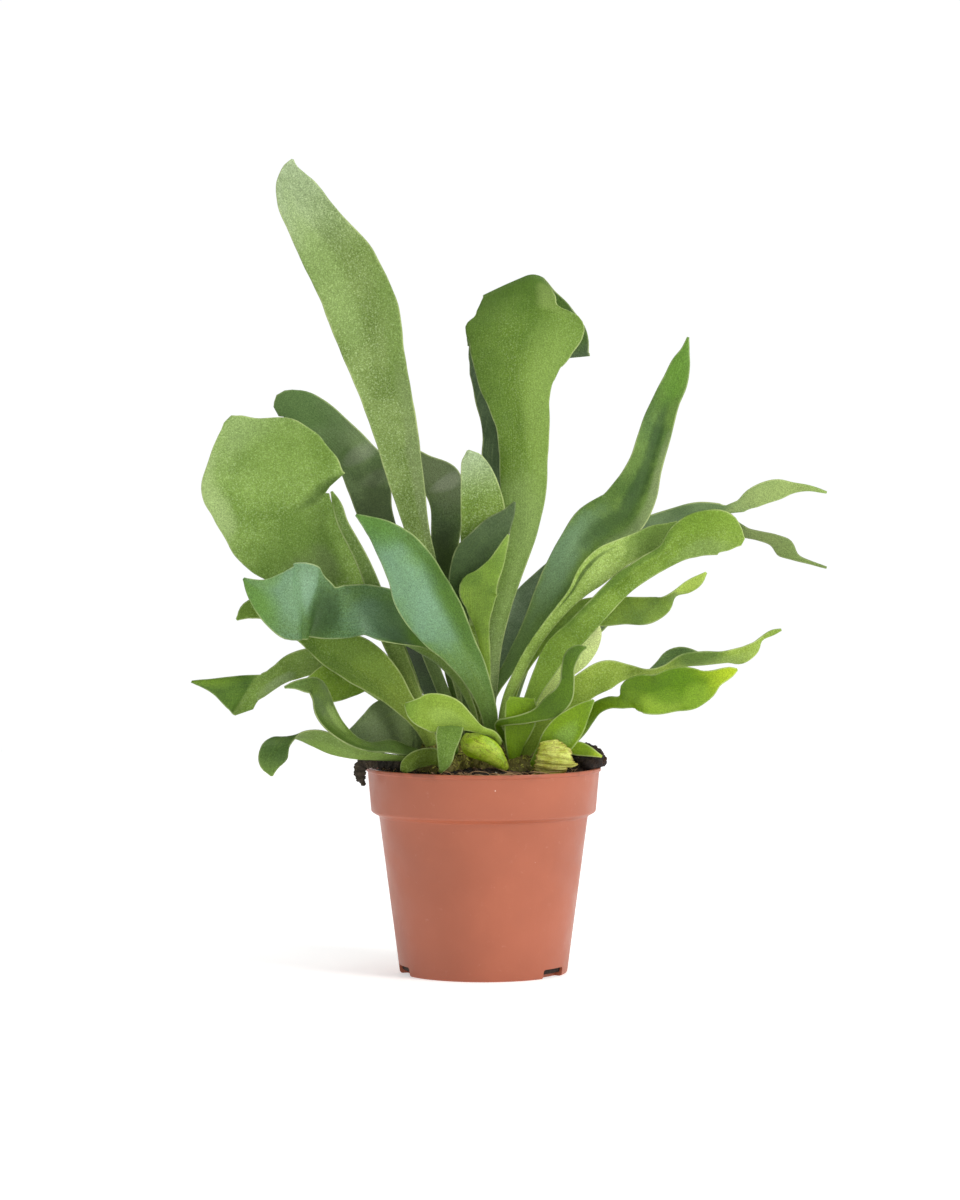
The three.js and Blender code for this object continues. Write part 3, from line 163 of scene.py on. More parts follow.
# Node helpers
class Nodes:
    """One material. Each socket takes a value or the output of another node."""

    def __init__(self, name, specular=0.5):
        self.material = bpy.data.materials.new(name)
        self.material.use_nodes = True
        self.tree = self.material.node_tree
        self.shader = self.tree.nodes["Principled BSDF"]
        self.shader.inputs["Specular IOR Level"].default_value = specular
        self.position = self.add("ShaderNodeTexCoord").outputs["Object"]

    def add(self, kind, inputs=(), **settings):
        node = self.tree.nodes.new(kind)
        for key, value in settings.items():
            setattr(node, key, value)
        for socket, value in inputs:
            self.put(value, node.inputs[socket])
        return node

    def put(self, value, socket):
        if isinstance(value, bpy.types.NodeSocket):
            self.tree.links.new(value, socket)
        else:
            socket.default_value = value

    def attribute(self, name):
        return self.add("ShaderNodeAttribute", attribute_name=name).outputs["Fac"]

    def math(self, operation, a, b=0.0):
        return self.add("ShaderNodeMath", enumerate((a, b)), operation=operation).outputs[0]

    def times(self, a, b):
        return self.math("MULTIPLY", a, b)

    def offset(self, a, b, size):
        return self.math("DIVIDE", self.math("SUBTRACT", a, b), size)

    def ramp(self, value, low, high, start=0.0, end=1.0):
        names = ("Value", "From Min", "From Max", "To Min", "To Max")
        inputs = zip(names, (value, low, high, start, end))
        return self.add("ShaderNodeMapRange", inputs, interpolation_type="SMOOTHSTEP").outputs[0]

    def mix(self, factor, a, b, blend="MIX"):
        inputs = (("Factor", factor), (6, a), (7, b))
        return self.add("ShaderNodeMix", inputs, data_type="RGBA", blend_type=blend).outputs[2]

    def shade(self, colour, amount):
        """The colour made lighter or darker by an amount around 1."""
        return self.mix(1.0, colour, self.vector(amount, amount, amount), "MULTIPLY")

    def noise(self, vector, scale, detail=3.0, roughness=0.55, distortion=0.0):
        names = ("Vector", "Scale", "Detail", "Roughness", "Distortion")
        inputs = zip(names, (vector, scale, detail, roughness, distortion))
        return self.add("ShaderNodeTexNoise", inputs).outputs["Fac"]

    def vector(self, *values):
        return self.add("ShaderNodeCombineXYZ", enumerate(values)).outputs[0]

    def finish(self, colour, roughness, *bumps):
        """Each bump is a height, its distance in metres and its strength."""
        normal = None
        for values in bumps:
            bump = self.add("ShaderNodeBump", zip(("Height", "Distance", "Strength"), values))
            if normal is not None:
                self.put(normal, bump.inputs["Normal"])
            normal = bump.outputs["Normal"]
        self.put(colour, self.shader.inputs["Base Color"])
        self.put(roughness, self.shader.inputs["Roughness"])
        if normal is not None:
            self.put(normal, self.shader.inputs["Normal"])
        return self.material


# Materials
def leaf_material(
    name, upper, under, foot, tip, bloom_and_painted_sheen, bloom_and_painted_sheen_amount, tip_start, tip_amount, fuzz, gloss, painted_shading_and_colour_marks
):
    """Two faces with their own colours, a foot, a tip, a pale bloom that is partly a painted sheen, soft
    marks that are mostly painted highlights and painted shade, down and a thin pale rim.
    """
    m = Nodes(name, specular=0.22)
    across, across_mm, along_mm, along, is_under, edge_mm, tone = map(m.attribute, POINT_DATA)
    patches = m.noise(m.position, 42.0, 4.0, 0.6)
    clouds = m.noise(m.position, 15.0, 2.0, 0.5)
    grain = m.noise(m.position, 2200.0, 2.0, 0.7)
    fleck = m.noise(m.position, 1150.0, 3.0, 0.75)
    streaks = m.noise(m.vector(m.times(across_mm, 1.15), m.times(along_mm, 0.045), tone), 1.0, 3.0, 0.6)

    deep = m.mix(1.0, upper, (0.5, 0.58, 0.46, 1.0), "MULTIPLY")
    upper_colour = m.mix(m.ramp(patches, 0.32, 0.66), deep, upper)
    # Random patches of the pale bloom of down on the upper faces, which are also a painted bluish sheen of
    # their gloss
    bloom_and_painted_sheen_mask = m.times(m.ramp(clouds, 0.38, 0.7), m.ramp(fleck, 0.3, 0.62, 0.35, 1.0))
    upper_colour = m.mix(m.times(bloom_and_painted_sheen_mask, bloom_and_painted_sheen_amount), upper_colour, bloom_and_painted_sheen)

    dull = m.mix(1.0, under, (0.64, 0.7, 0.48, 1.0), "MULTIPLY")
    under_colour = m.mix(m.ramp(patches, 0.34, 0.62), dull, under)
    downy = m.mix(0.5, under, (0.6, 0.68, 0.46, 1.0))
    under_colour = m.mix(m.times(m.ramp(fleck, 0.46, 0.78), fuzz), under_colour, downy)

    colour = m.mix(is_under, upper_colour, under_colour)
    colour = m.mix(m.ramp(along_mm, 8.0, 85.0, 0.6, 0.0), colour, foot)
    line = m.times(m.ramp(streaks, 0.5, 0.72), m.ramp(along_mm, 20.0, 170.0, 0.34, 0.08))
    colour = m.mix(line, colour, foot)
    tip_mask = m.times(m.ramp(along, tip_start, 1.0), tip_amount)
    colour = m.mix(m.times(tip_mask, m.ramp(patches, 0.25, 0.6, 0.6, 1.0)), colour, tip)
    # Soft marks: most paint highlights and shade of the blade's folds and ridges into its colour, the others
    # are its own colour
    for mark_across, mark_along, size_across, size_along, painted_shading_and_own_colour, amount in painted_shading_and_colour_marks:
        off_across = m.offset(across, mark_across, size_across)
        off_along = m.offset(along, mark_along, size_along)
        square = m.math("ADD", m.times(off_across, off_across), m.times(off_along, off_along))
        square = m.math("ADD", square, m.ramp(patches, 0.25, 0.75, -0.5, 0.4))
        colour = m.mix(m.ramp(square, 0.0, 1.5, amount, 0.0), colour, srgb(*painted_shading_and_own_colour))
    rough = 0.07 + 0.15 * fuzz
    flecks = m.ramp(fleck, 0.3, 0.7, 1.0 - rough, 1.0 + rough)
    colour = m.shade(colour, m.times(m.ramp(grain, 0.28, 0.72, 0.86 - rough, 1.14 + rough), flecks))
    rim = m.times(m.ramp(edge_mm, 0.05, 0.65, 0.75, 0.0), m.ramp(patches, 0.36, 0.6, 0.15, 1.0))
    colour = m.mix(rim, colour, m.mix(0.6, colour, (0.56, 0.64, 0.28, 1.0)))
    colour = m.shade(colour, tone)

    upper_rough = m.ramp(patches, 0.3, 0.7, 0.5 - gloss, 0.62 - gloss)
    inputs = (("Factor", is_under), ("A", upper_rough), ("B", m.ramp(fleck, 0.3, 0.7, 0.6, 0.78)))
    roughness = m.add("ShaderNodeMix", inputs, data_type="FLOAT").outputs["Result"]
    bumps = ((patches, 0.0012, 0.3), (streaks, 0.0005, 0.4), (fleck, 0.0002, 0.35), (grain, 0.00012, 0.4))
    return m.finish(colour, roughness, *bumps)


def shield_material(name, base, vein, light, vein_amount, dryness):
    """Wavy layers across the shield, ribs along it and brown creases, more of them when dry."""
    m = Nodes(name, specular=0.4)
    base, vein, light = (srgb(*colour) for colour in (base, vein, light))
    across_mm, along_mm, edge_mm = map(m.attribute, ("across_mm", "along_mm", "edge_mm"))
    patches = m.noise(m.position, 150.0, 4.0, 0.6)
    fine = m.noise(m.position, 1500.0, 3.0, 0.7)
    layers = m.noise(m.vector(m.times(across_mm, 0.11), m.times(along_mm, 0.8), 2.0), 1.0, 3.0, 0.6, 0.9)
    ribs = m.noise(m.vector(m.times(across_mm, 0.34), m.times(along_mm, 0.07), 5.0), 1.0, 3.0, 0.6, 1.2)
    rib_line = m.ramp(m.math("ABSOLUTE", m.math("SUBTRACT", ribs, 0.5)), 0.004, 0.026, 1.0, 0.0)
    crease = m.ramp(m.math("ABSOLUTE", m.math("SUBTRACT", layers, 0.5)), 0.004, 0.03, 1.0, 0.0)
    colour = m.mix(m.ramp(patches, 0.34, 0.66), base, light)
    browned = (
        m.times(m.ramp(layers, 0.58, 0.7), vein_amount * dryness),
        m.times(crease, vein_amount * (0.4 + 0.6 * dryness)),
        m.times(rib_line, vein_amount * (1.0 - 0.7 * dryness)),
        m.ramp(along_mm, 2.0, 14.0, 0.5 * dryness, 0.0),
    )
    for mask in browned:
        colour = m.mix(mask, colour, vein)
    colour = m.shade(colour, m.ramp(fine, 0.3, 0.7, 0.86, 1.14))
    colour = m.mix(m.ramp(edge_mm, 0.1, 0.9, 0.5 * dryness, 0.0), colour, vein)
    waves = (layers, 0.0008 + 0.001 * dryness, 0.3 + 0.4 * dryness)
    roughness = m.ramp(patches, 0.3, 0.7, 0.34, 0.56)
    return m.finish(colour, roughness, waves, (ribs, 0.0008, 0.3), (fine, 0.0002, 0.4))


def dead_material():
    m = Nodes("leaf_dead")
    patches = m.noise(m.position, 180.0, 5.0, 0.65)
    fine = m.noise(m.position, 1200.0, 3.0, 0.7)
    colour = m.mix(m.ramp(patches, 0.35, 0.7), srgb(28, 24, 17), srgb(66, 54, 38))
    colour = m.mix(m.ramp(fine, 0.56, 0.7, 0.0, 0.6), colour, srgb(112, 98, 74))
    return m.finish(colour, 0.82, (patches, 0.0015, 0.7), (fine, 0.0003, 0.6))


def pot_material():
    """Terracotta-coloured plastic with faint clouds, white specks, dust, scuffs and a soiled rim."""
    m = Nodes("pot_plastic")
    height = m.add("ShaderNodeSeparateXYZ", ((0, m.position),)).outputs[2]
    clouds = m.noise(m.position, 22.0, 3.0, 0.5)
    blotch = m.noise(m.position, 70.0, 4.0, 0.6)
    fine = m.noise(m.position, 1600.0, 2.0, 0.6)
    dust = m.noise(m.position, 300.0, 4.0, 0.7)
    cells = m.add("ShaderNodeTexVoronoi", (("Vector", m.position), ("Scale", 150.0)))
    chance = m.add("ShaderNodeSeparateColor", ((0, cells.outputs["Color"]),)).outputs[0]
    specks = m.times(m.ramp(cells.outputs["Distance"], 0.035, 0.06, 1.0, 0.0), m.ramp(chance, 0.8, 0.82))
    soiled = m.times(m.ramp(height, 0.1, 0.1055), m.ramp(blotch, 0.5, 0.7, 0.0, 0.45))
    colour = m.mix(m.ramp(clouds, 0.3, 0.7), srgb(162, 86, 58), srgb(172, 93, 64))
    coats = (
        (m.ramp(blotch, 0.5, 0.8, 0.0, 0.14), (188, 112, 82)),
        (m.ramp(height, 0.0, 0.03, 0.25, 0.0), (148, 80, 56)),
        (m.times(specks, 0.75), (238, 214, 200)),
        (m.times(m.ramp(dust, 0.62, 0.8), 0.2), (226, 176, 156)),
        (soiled, (88, 52, 40)),
    )
    for mask, coat in coats:
        colour = m.mix(mask, colour, srgb(*coat))
    flattened = m.add("ShaderNodeMapping", (("Scale", (1.0, 1.0, 0.06)), ("Vector", m.position))).outputs[0]
    scuffs = m.noise(flattened, 900.0, 2.0, 0.5)
    bumps = ((blotch, 0.0004, 0.06), (scuffs, 0.00008, 0.2), (fine, 0.00006, 0.3))
    return m.finish(colour, m.ramp(blotch, 0.3, 0.72, 0.36, 0.5), *bumps)


def soil_material():
    m = Nodes("soil_peat", specular=0.35)
    patches = m.noise(m.position, 160.0, 5.0, 0.7)
    fine = m.noise(m.position, 900.0, 4.0, 0.75)
    dark = m.mix(m.ramp(patches, 0.32, 0.7), srgb(18, 13, 10), srgb(54, 38, 28))
    brown = m.mix(m.ramp(fine, 0.35, 0.7), srgb(58, 38, 24), srgb(112, 80, 52))
    colour = m.mix(m.attribute("tint"), dark, brown)
    colour = m.mix(m.ramp(fine, 0.66, 0.82, 0.0, 0.5), colour, srgb(122, 98, 74))
    roughness = m.ramp(fine, 0.3, 0.7, 0.72, 0.95)
    return m.finish(colour, roughness, (patches, 0.002, 0.8), (fine, 0.0006, 0.9))


def perlite_material():
    m = Nodes("perlite")
    fine = m.noise(m.position, 1400.0, 4.0, 0.7)
    colour = m.mix(m.ramp(fine, 0.35, 0.65), srgb(176, 168, 152), srgb(232, 228, 216))
    return m.finish(colour, 0.8, (fine, 0.0004, 0.8))


def fibre_material(name, dark, light):
    m = Nodes(name)
    fine = m.noise(m.position, 1300.0, 3.0, 0.7)
    colour = m.shade(m.mix(m.attribute("tint"), dark, light), m.ramp(fine, 0.3, 0.7, 0.7, 1.2))
    return m.finish(colour, 0.75, (fine, 0.0003, 0.6))


def floor_material():
    m = Nodes("floor_paper")
    fine = m.noise(m.position, 40.0, 3.0, 0.5)
    colour = m.mix(m.ramp(fine, 0.3, 0.7), srgb(244, 244, 243), srgb(247, 247, 246))
    m.put((*WHITE, 1.0), m.shader.inputs["Emission Color"])
    m.put(FLOOR_GLOW, m.shader.inputs["Emission Strength"])
    return m.finish(colour, 0.9)


# Mesh helpers
def place_in_scene(name, data):
    made = bpy.data.objects.new(name, data)
    bpy.context.scene.collection.objects.link(made)
    return made


def mesh_object(name, points, faces, material, attributes, smooth=True):
    mesh = bpy.data.meshes.new(name)
    mesh.from_pydata((np.asarray(points, dtype=float) * MM).tolist(), [], faces)
    mesh.update()
    for key, values in attributes.items():
        layer = mesh.attributes.new(key, "FLOAT", "POINT")
        layer.data.foreach_set("value", np.asarray(values, dtype=np.float32))
    mesh.polygons.foreach_set("use_smooth", [smooth] * len(mesh.polygons))
    mesh.materials.append(material)
    return place_in_scene(name, mesh)


def mesh_from_bmesh(bm, name):
    mesh = bpy.data.meshes.new(name)
    bm.to_mesh(mesh)
    bm.free()
    return mesh


def apply_modifier(piece, kind, **settings):
    modifier = piece.modifiers.new("change", kind)
    for key, value in settings.items():
        setattr(modifier, key, value)
    bpy.context.view_layer.objects.active = piece
    bpy.ops.object.modifier_apply(modifier=modifier.name)
    piece.data.polygons.foreach_set("use_smooth", [True] * len(piece.data.polygons))


def skin(rings):
    """Four-sided faces between each ring of point numbers and the next."""
    return [
        (low[i - 1], high[i - 1], high[i], low[i])
        for low, high in zip(rings, rings[1:])
        for i in range(len(low))
    ]


def circle(radius, segments):
    angle = 2 * math.pi * np.arange(segments) / segments
    return radius * np.cos(angle), radius * np.sin(angle)


def settle(piece, slot, *nodes):
    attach(piece, "root")
    if nodes:
        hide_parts(*nodes)


# Leaf blades
def unit(v):
    return v / np.maximum(np.linalg.norm(v, axis=-1, keepdims=True), 1e-9)


class Curve:
    """A smooth path through the stations of a blade, with all their values."""

    def __init__(self, path):
        rows = [(*row, *[0.0] * (STATION_VALUES - len(row))) for row in path]
        self.stations = np.array(rows, dtype=float)
        gaps = np.linalg.norm(np.diff(self.stations[:, :3], axis=0), axis=1)
        self.knots = np.concatenate([[0.0], np.cumsum(gaps)])
        self.length = self.knots[-1]
        steps = np.diff(self.stations, axis=0) / gaps[:, None]
        share = (gaps[:-1] / (gaps[:-1] + gaps[1:]))[:, None]
        inner = steps[:-1] * (1 - share) + steps[1:] * share
        self.slopes = np.concatenate([steps[:1], inner, steps[-1:]])

    def at(self, t):
        t = np.clip(t, 0.0, self.length)
        i = np.clip(np.searchsorted(self.knots, t, side="left") - 1, 0, len(self.knots) - 2)
        span = (self.knots[i + 1] - self.knots[i])[:, None]
        u = (t - self.knots[i])[:, None] / span
        low, high = self.stations[i], self.stations[i + 1]
        leaving = u * (1 - u) ** 2 * span * self.slopes[i]
        arriving = u**2 * (1 - u) * span * self.slopes[i + 1]
        return low + (high - low) * u**2 * (3 - 2 * u) + leaving - arriving

    def places(self, t):
        """Real places of stations that are given as the camera sees them at the pot's axis."""
        x, z, depth = self.at(t)[:, :3].T
        spread = 1 + depth / VIEW_DISTANCE
        return np.stack([VIEW_X + (x - VIEW_X) * spread, depth, VIEW_Z + (z - VIEW_Z) * spread], axis=1)


def ripple(t, v, seed):
    """Gentle waves of a blade, larger towards its margins."""
    phase = seed * 1.7
    long = np.sin(t / 21.0 + phase) * 0.5 + np.sin(t / 11.3 + phase * 2.3) * 0.3
    short = np.sin(t / 6.1 + phase * 3.1 + v * 2.0) * 0.2
    return (long + short) * v * abs(v) + 0.3 * np.sin(t / 17.0 + phase) * v * v


def front_face(leaf):
    """Which face of the leaf its path shows to the camera."""
    return leaf.get("front", FACES_AND_SLOTS[leaf["look"]][0])


def blade_rings(curve, ts, columns, leaf, from_root, total, seed, tone):
    """Rings of points round a blade, each a place and the values of POINT_DATA."""
    rows = curve.at(ts)
    centre = curve.places(ts)
    step = leaf.get("tangent_step", TANGENT_STEP)
    tangent = unit(curve.places(ts + step) - curve.places(ts - step))
    if "across" in leaf:
        wanted = unit(np.array(leaf["across"], dtype=float))
        flat = unit(wanted - (tangent @ wanted)[:, None] * tangent)
    else:
        flat = unit(np.cross(tangent, (0.0, -1.0, 0.0)))
    curl_left, curl_right, turn, slant = np.radians(rows[:, 5:9]).T[:, :, None]
    side = np.cos(turn) * flat + np.sin(turn) * np.cross(tangent, flat)
    normal = unit(np.cross(side, tangent))
    side = np.cos(slant) * side + np.sin(slant) * tangent
    run = from_root + ts
    along = run / total
    thickness = BLADE_THICKNESS + (STALK_THICKNESS - BLADE_THICKNESS) * np.exp(-run / STALK_FADE)
    left = curve.length - ts
    taper = np.clip(left / TIP_TAPER, 0.0, 1.0) ** 0.5
    ragged = leaf.get("ragged", 0.0)
    ridged_under = front_face(leaf) == "under"
    front, back, widths = [], [], []
    for v in columns:
        sign = -1.0 if v < 0 else 1.0
        reach = abs(v)
        width = np.maximum(NARROWEST, rows[:, 3] if v < 0 else rows[:, 4])
        width *= 1 + 0.009 * np.sin(run / 5.3 + seed + sign) + 0.005 * np.sin(ts / 2.3 + seed * 2 * sign)
        tears = np.sin(ts * 2.1 + seed) + 0.7 * np.sin(ts * 4.7 + seed * 2 + sign) + 0.5 * np.sin(ts * 8.3)
        width += ragged * tears * 0.4
        width = np.where(left < TIP_CUT, np.maximum(0.25, width * 0.9), width)
        bend = (curl_left if v < 0 else curl_right)[:, 0]
        angle = bend * reach
        straight = np.abs(bend) < 1e-4
        safe = np.where(straight, 1.0, bend)
        sideways = np.where(straight, width * reach, width * np.sin(angle) / safe)
        lift = np.where(straight, 0.0, width * (1 - np.cos(angle)) / safe)
        wave = WAVE_HEIGHT * np.minimum(0.9, width / 14.0)
        wave *= np.clip((run - WAVE_START) / WAVE_GROWTH, 0.0, 1.0)
        lift += wave * ripple(run, v, seed)
        lift += ragged * (0.55 * np.sin(ts * 1.9 + v * 1.3 + seed) + 0.25 * np.sin(ts * 4.1 - v * 2.0))
        for at_across, at_along, size_across, size_along, depth in leaf.get("relief", ()):
            square = ((v - at_across) / size_across) ** 2 + ((along - at_along) / size_along) ** 2
            lift += depth * np.exp(-square * 1.6)
        point = centre + side * (sign * sideways)[:, None] + normal * lift[:, None]
        out = normal * np.cos(angle)[:, None] - side * (sign * np.sin(angle))[:, None]
        half = (EDGE_THICKNESS + (thickness - EDGE_THICKNESS) * (1 - reach * reach)) / 2
        half *= 0.45 + 0.55 * taper
        ridge = RIDGE_HEIGHT * np.exp(-((reach * width / RIDGE_WIDTH) ** 2) - run / RIDGE_FADE)
        ridge *= np.clip(width / 4.0, 0.0, 1.0)
        front.append(point + out * (half + ridge * ridged_under)[:, None])
        back.append(point - out * (half + ridge * (not ridged_under))[:, None])
        widths.append(width)
    rims = []
    for edge, inner in ((-1, -2), (0, 1)):
        rim = (front[edge] + back[edge]) / 2
        outward = unit(rim - (front[inner] + back[inner]) / 2)
        rims.append(rim + outward * (RIM_SWELL * (0.4 + 0.6 * taper))[:, None])

    # A ring runs over the front, round the right rim, over the back and round the left rim
    count = len(columns)
    order = [*range(count), count - 1, *reversed(range(count)), 0]
    places = np.stack([*front, rims[0], *back[::-1], rims[1]], axis=1)
    v = np.array(columns)[order]
    width = np.array(widths)[order].T
    shape = width.shape
    seen_under = np.where(along > leaf.get("fold", 2.0), not ridged_under, ridged_under)[:, None]
    is_rim = np.zeros(len(order), dtype=bool)
    is_rim[[count, -1]] = True
    is_back = np.arange(len(order)) > count
    under = np.where(is_rim, 0.5, np.where(is_back, 1 - seen_under, seen_under))
    edge_mm = np.where(is_rim, 0.0, (1 - abs(v)) * width)
    values = (v, v * width, run[:, None], along[:, None], under, edge_mm, tone)
    return np.concatenate([places, np.stack([np.broadcast_to(a, shape) for a in values], axis=2)], axis=2)


def make_blade(name, leaf, material, seed):
    stem = Curve(leaf["path"])
    lobes = [Curve((leaf["path"][-1], *lobe)) for lobe in leaf.get("lobes", ())]
    total = stem.length + max([lobe.length for lobe in lobes], default=0.0)
    widest = stem.stations[:, 3:5].max()
    half = 10 if widest > WIDE_BLADE else 7 if widest > MEDIUM_BLADE else 5
    even = np.linspace(-1, 1, 2 * half + 1)
    columns = np.round(0.6 * np.sin(even * math.pi / 2 * 0.999) + 0.4 * even, 6)
    row_step = RAGGED_ROW_STEP if "ragged" in leaf else ROW_STEP
    rows, faces = [], []

    def add_strip(curve, columns, from_root, first=(), tone=1.0):
        """Adds a stem, or a lobe that starts from the ring of point numbers at the fork."""
        begin = curve.knots[1] if first else 0.0
        count = max(4, round((curve.length - begin) / row_step))
        ts = np.linspace(begin, curve.length, count + 1)
        rings = blade_rings(curve, ts, columns, leaf, from_root, total, seed, tone)
        if first:
            fork = np.array([rows[i] for i in first])
            between = max(1, int(begin / ROW_STEP))
            shares = np.arange(1, between + 1)[:, None, None] / (between + 1)
            rings = np.concatenate([fork * (1 - shares) + rings[0] * shares, rings])
        start = len(rows)
        rows.extend(rings.reshape(-1, rings.shape[2]))
        numbers = np.arange(start, len(rows)).reshape(rings.shape[:2]).tolist()
        if first:
            numbers.insert(0, first)
        else:
            faces.append(numbers[0])
        faces.extend(skin(numbers))
        if first or not lobes:
            faces.append(numbers[-1][::-1])
        return numbers[-1]

    last = add_strip(stem, columns, 0.0)
    width = len(columns)
    fronts, rim_right, backs, rim_left = last[:width], last[width], last[-2:width:-1], last[-1]
    for i, lobe in enumerate(lobes):
        inner = len(rows)
        middle = rows[fronts[half]].copy()
        middle[:3] = (middle[:3] + rows[backs[half]][:3]) / 2
        rows.append(middle)
        if i == 0:
            first = [*fronts[: half + 1], inner, *backs[half::-1], rim_left]
        else:
            first = [*fronts[half:], rim_right, *backs[: half - 1 : -1], inner]
        add_strip(lobe, np.linspace(-1, 1, half + 1), stem.length, first, leaf["lobe_tones"][i])

    table = np.array(rows)
    data = dict(zip(POINT_DATA, table[:, 3:].T))
    piece = mesh_object(name, table[:, :3], faces, material, data)
    index = np.empty(len(piece.data.loops), dtype=np.int32)
    piece.data.loops.foreach_get("vertex_index", index)
    pairs = np.stack([0.5 + 0.5 * data["across"][index], data["along"][index]], axis=1)
    piece.data.uv_layers.new(name="UVMap").data.foreach_set("uv", pairs.astype(np.float32).ravel())
    bm = bmesh.new()
    bm.from_mesh(piece.data)
    bmesh.ops.recalc_face_normals(bm, faces=bm.faces)
    bm.to_mesh(piece.data)
    bm.free()
    return piece


# For each look the face that such a leaf shows and its material slot, unless the leaf names others
FACES_AND_SLOTS = {
    "pale": ("under", "frond_underside_pale"),
    "hood": ("under", "frond_underside_green"),
    "green_under": ("under", "frond_underside_green"),
    "teal": ("upper", "frond_upper_teal"),
    "dark": ("upper", "frond_upper_dark"),
    "green": ("upper", "frond_upper_green"),
    "bright": ("upper", "frond_upper_bright"),
    "young": ("under", "frond_young"),
    "very_pale": ("under", "frond_young"),
    "shield": ("upper", "frond_young"),
    "dry": ("upper", "shield_dry"),
    "dead": ("upper", "leaf_dead"),
}

# The leaves, from the tall one at the left to those at the back. A path starts at the root. Each of its
# stations has an x and z as the camera sees them at the pot's axis, a depth y and the half-widths of the
# blade at its left and its right. After these come, where they are not 0, the curl of the left and of the
# right half, the turn of the blade and the slant of its width, in degrees. A mark is a soft patch: its
# place across and along the blade, its size in the two directions, its colour and how strongly it shows.
# Most marks are painted highlights and painted shade of the blade's folds and ridges; the others are the
# blade's own colour. A relief is placed alike, with a height. Colours are from 0 to 255.
LEAVES = {}
LEAVES["frond_tall"] = dict(
    look="pale", under=(121, 144, 75), tip=(176, 194, 154), fuzz=0.7,
    # Marks: painted shade down the right side, a painted highlight on the left of the upper blade
    painted_shading_and_colour_marks=(
        (0.9, 0.62, 0.5, 0.2, (112, 140, 64), 0.5), (-0.5, 0.8, 0.5, 0.14, (140, 166, 96), 0.5),
        (0.8, 0.46, 0.5, 0.14, (128, 140, 100), 0.4),
    ),
    relief=((0.2, 0.8, 0.5, 0.16, -1.0),),
    path=(
        (-6, 116, 5, 3, 3), (-9, 135, 5, 3, 3), (-13, 152, 6, 3.5, 3.5), (-20, 177, 7, 4, 4),
        (-27, 201, 6, 5, 5), (-33.5, 225, 4, 6, 6, 5, 5), (-40.2, 255, 0, 9.3, 9.3, 15, 10),
        (-47.3, 286, -5, 12, 12.2, 20, 10), (-54.6, 311, -12, 14.5, 14.8, 25, 10),
        (-61, 335, -20, 18, 18, 25, 10), (-67, 350, -26, 17.5, 18, 25, 5),
        (-73.3, 362, -30, 17, 17.5, 20, 5), (-81, 374, -34, 15, 15, 15, 5),
        (-89, 386, -39, 12.5, 13, 12, 5), (-94.5, 397, -43, 11, 11, 10, 5), (-97.5, 405.5, -45, 7.5, 7.5),
        (-98, 411.5, -46, 3.4, 3.2), (-97.2, 415, -46, 0.6, 0.6),
    ),
)
LEAVES["frond_hooded"] = dict(
    look="hood", across=(1, 0, 0), under=(95, 124, 37), foot=(181, 199, 137),
    # Marks: painted shade over the top and the left of the hood, painted light at its right and on the stalk
    # below
    painted_shading_and_colour_marks=(
        (-0.1, 0.68, 1.5, 0.14, (78, 112, 26), 0.8), (0.6, 0.44, 0.6, 0.16, (134, 162, 76), 0.6),
        (-0.7, 0.5, 0.5, 0.12, (96, 126, 48), 0.5), (0.75, 0.6, 0.4, 0.03, (138, 160, 84), 0.5),
        (0.0, 0.26, 1.2, 0.12, (140, 166, 92), 0.7),
    ),
    relief=((0.0, 0.58, 0.4, 0.05, -1.2), (0.55, 0.55, 0.3, 0.04, 1.2)),
    path=(
        (2.5, 117, 1, 3, 3), (2.5, 130, 2, 3, 3), (4, 150, 4, 3, 3.5), (5.4, 168, 6, 4, 4),
        (9, 185, 8, 4.5, 4.5), (14.5, 205, 10, 5.5, 5.5), (20.5, 226, 12, 7, 7),
        (20.5, 246, 13, 11.5, 11.5, -10, -10), (20.3, 265, 14, 12.5, 12.7, -15, -15),
        (19.9, 282, 15, 14.2, 14, -15, -15), (18.4, 292, 16, 16.6, 16, -20, -20),
        (17, 303, 17.5, 20.6, 19.6, -22, -22), (17.9, 314, 20, 25.4, 22.6, -25, -25),
        (19.8, 322, 23, 29.8, 26.8, -25, -25), (20.8, 329.4, 26, 31.2, 31.2, -22, -22),
        (21, 333.2, 28.2, 31.6, 31, -20, -20, -1), (21, 336, 30, 30.4, 27, -14, -14, -5),
        (21, 338.8, 31.9, 27, 18.6, -12, -8, -8), (21.2, 343.6, 36.5, 26, 16, -8, -8, -13),
        (21.4, 349, 43.5, 25, 12.6, -5, -20, -19), (21.6, 353.4, 51.5, 24.6, 9.6, -3, -40, -22),
        (21.8, 355.2, 59, 24.6, 9, -3, -50, -22), (22.2, 352.6, 67, 24, 10, -3, -30, -18),
        (23, 345.6, 73.6, 25.4, 14.6, 0, -10, -12), (23.4, 337.4, 78.6, 28, 23, 0, 0, -6),
        (23.2, 330, 80.6, 31, 30.2), (22.6, 325, 81.6, 32, 32.6), (21.9, 320.6, 82.3, 31.6, 33.6),
        (21.6, 317.8, 82.7, 31, 33), (21.4, 316, 82.9, 31, 20), (20.4, 312.4, 83.2, 30, 17),
        (18, 304, 83, 28, 15), (15.4, 297, 83, 24.6, 12), (12.4, 289, 82, 18.4, 10),
        (10.5, 281, 81.5, 13, 8), (9, 272, 81, 9.8, 7), (8, 262, 80.5, 9, 6), (9, 252, 80, 6.5, 5),
        (10, 244, 79.5, 4, 3.4), (10.6, 237, 79, 0.6, 0.6),
    ),
)
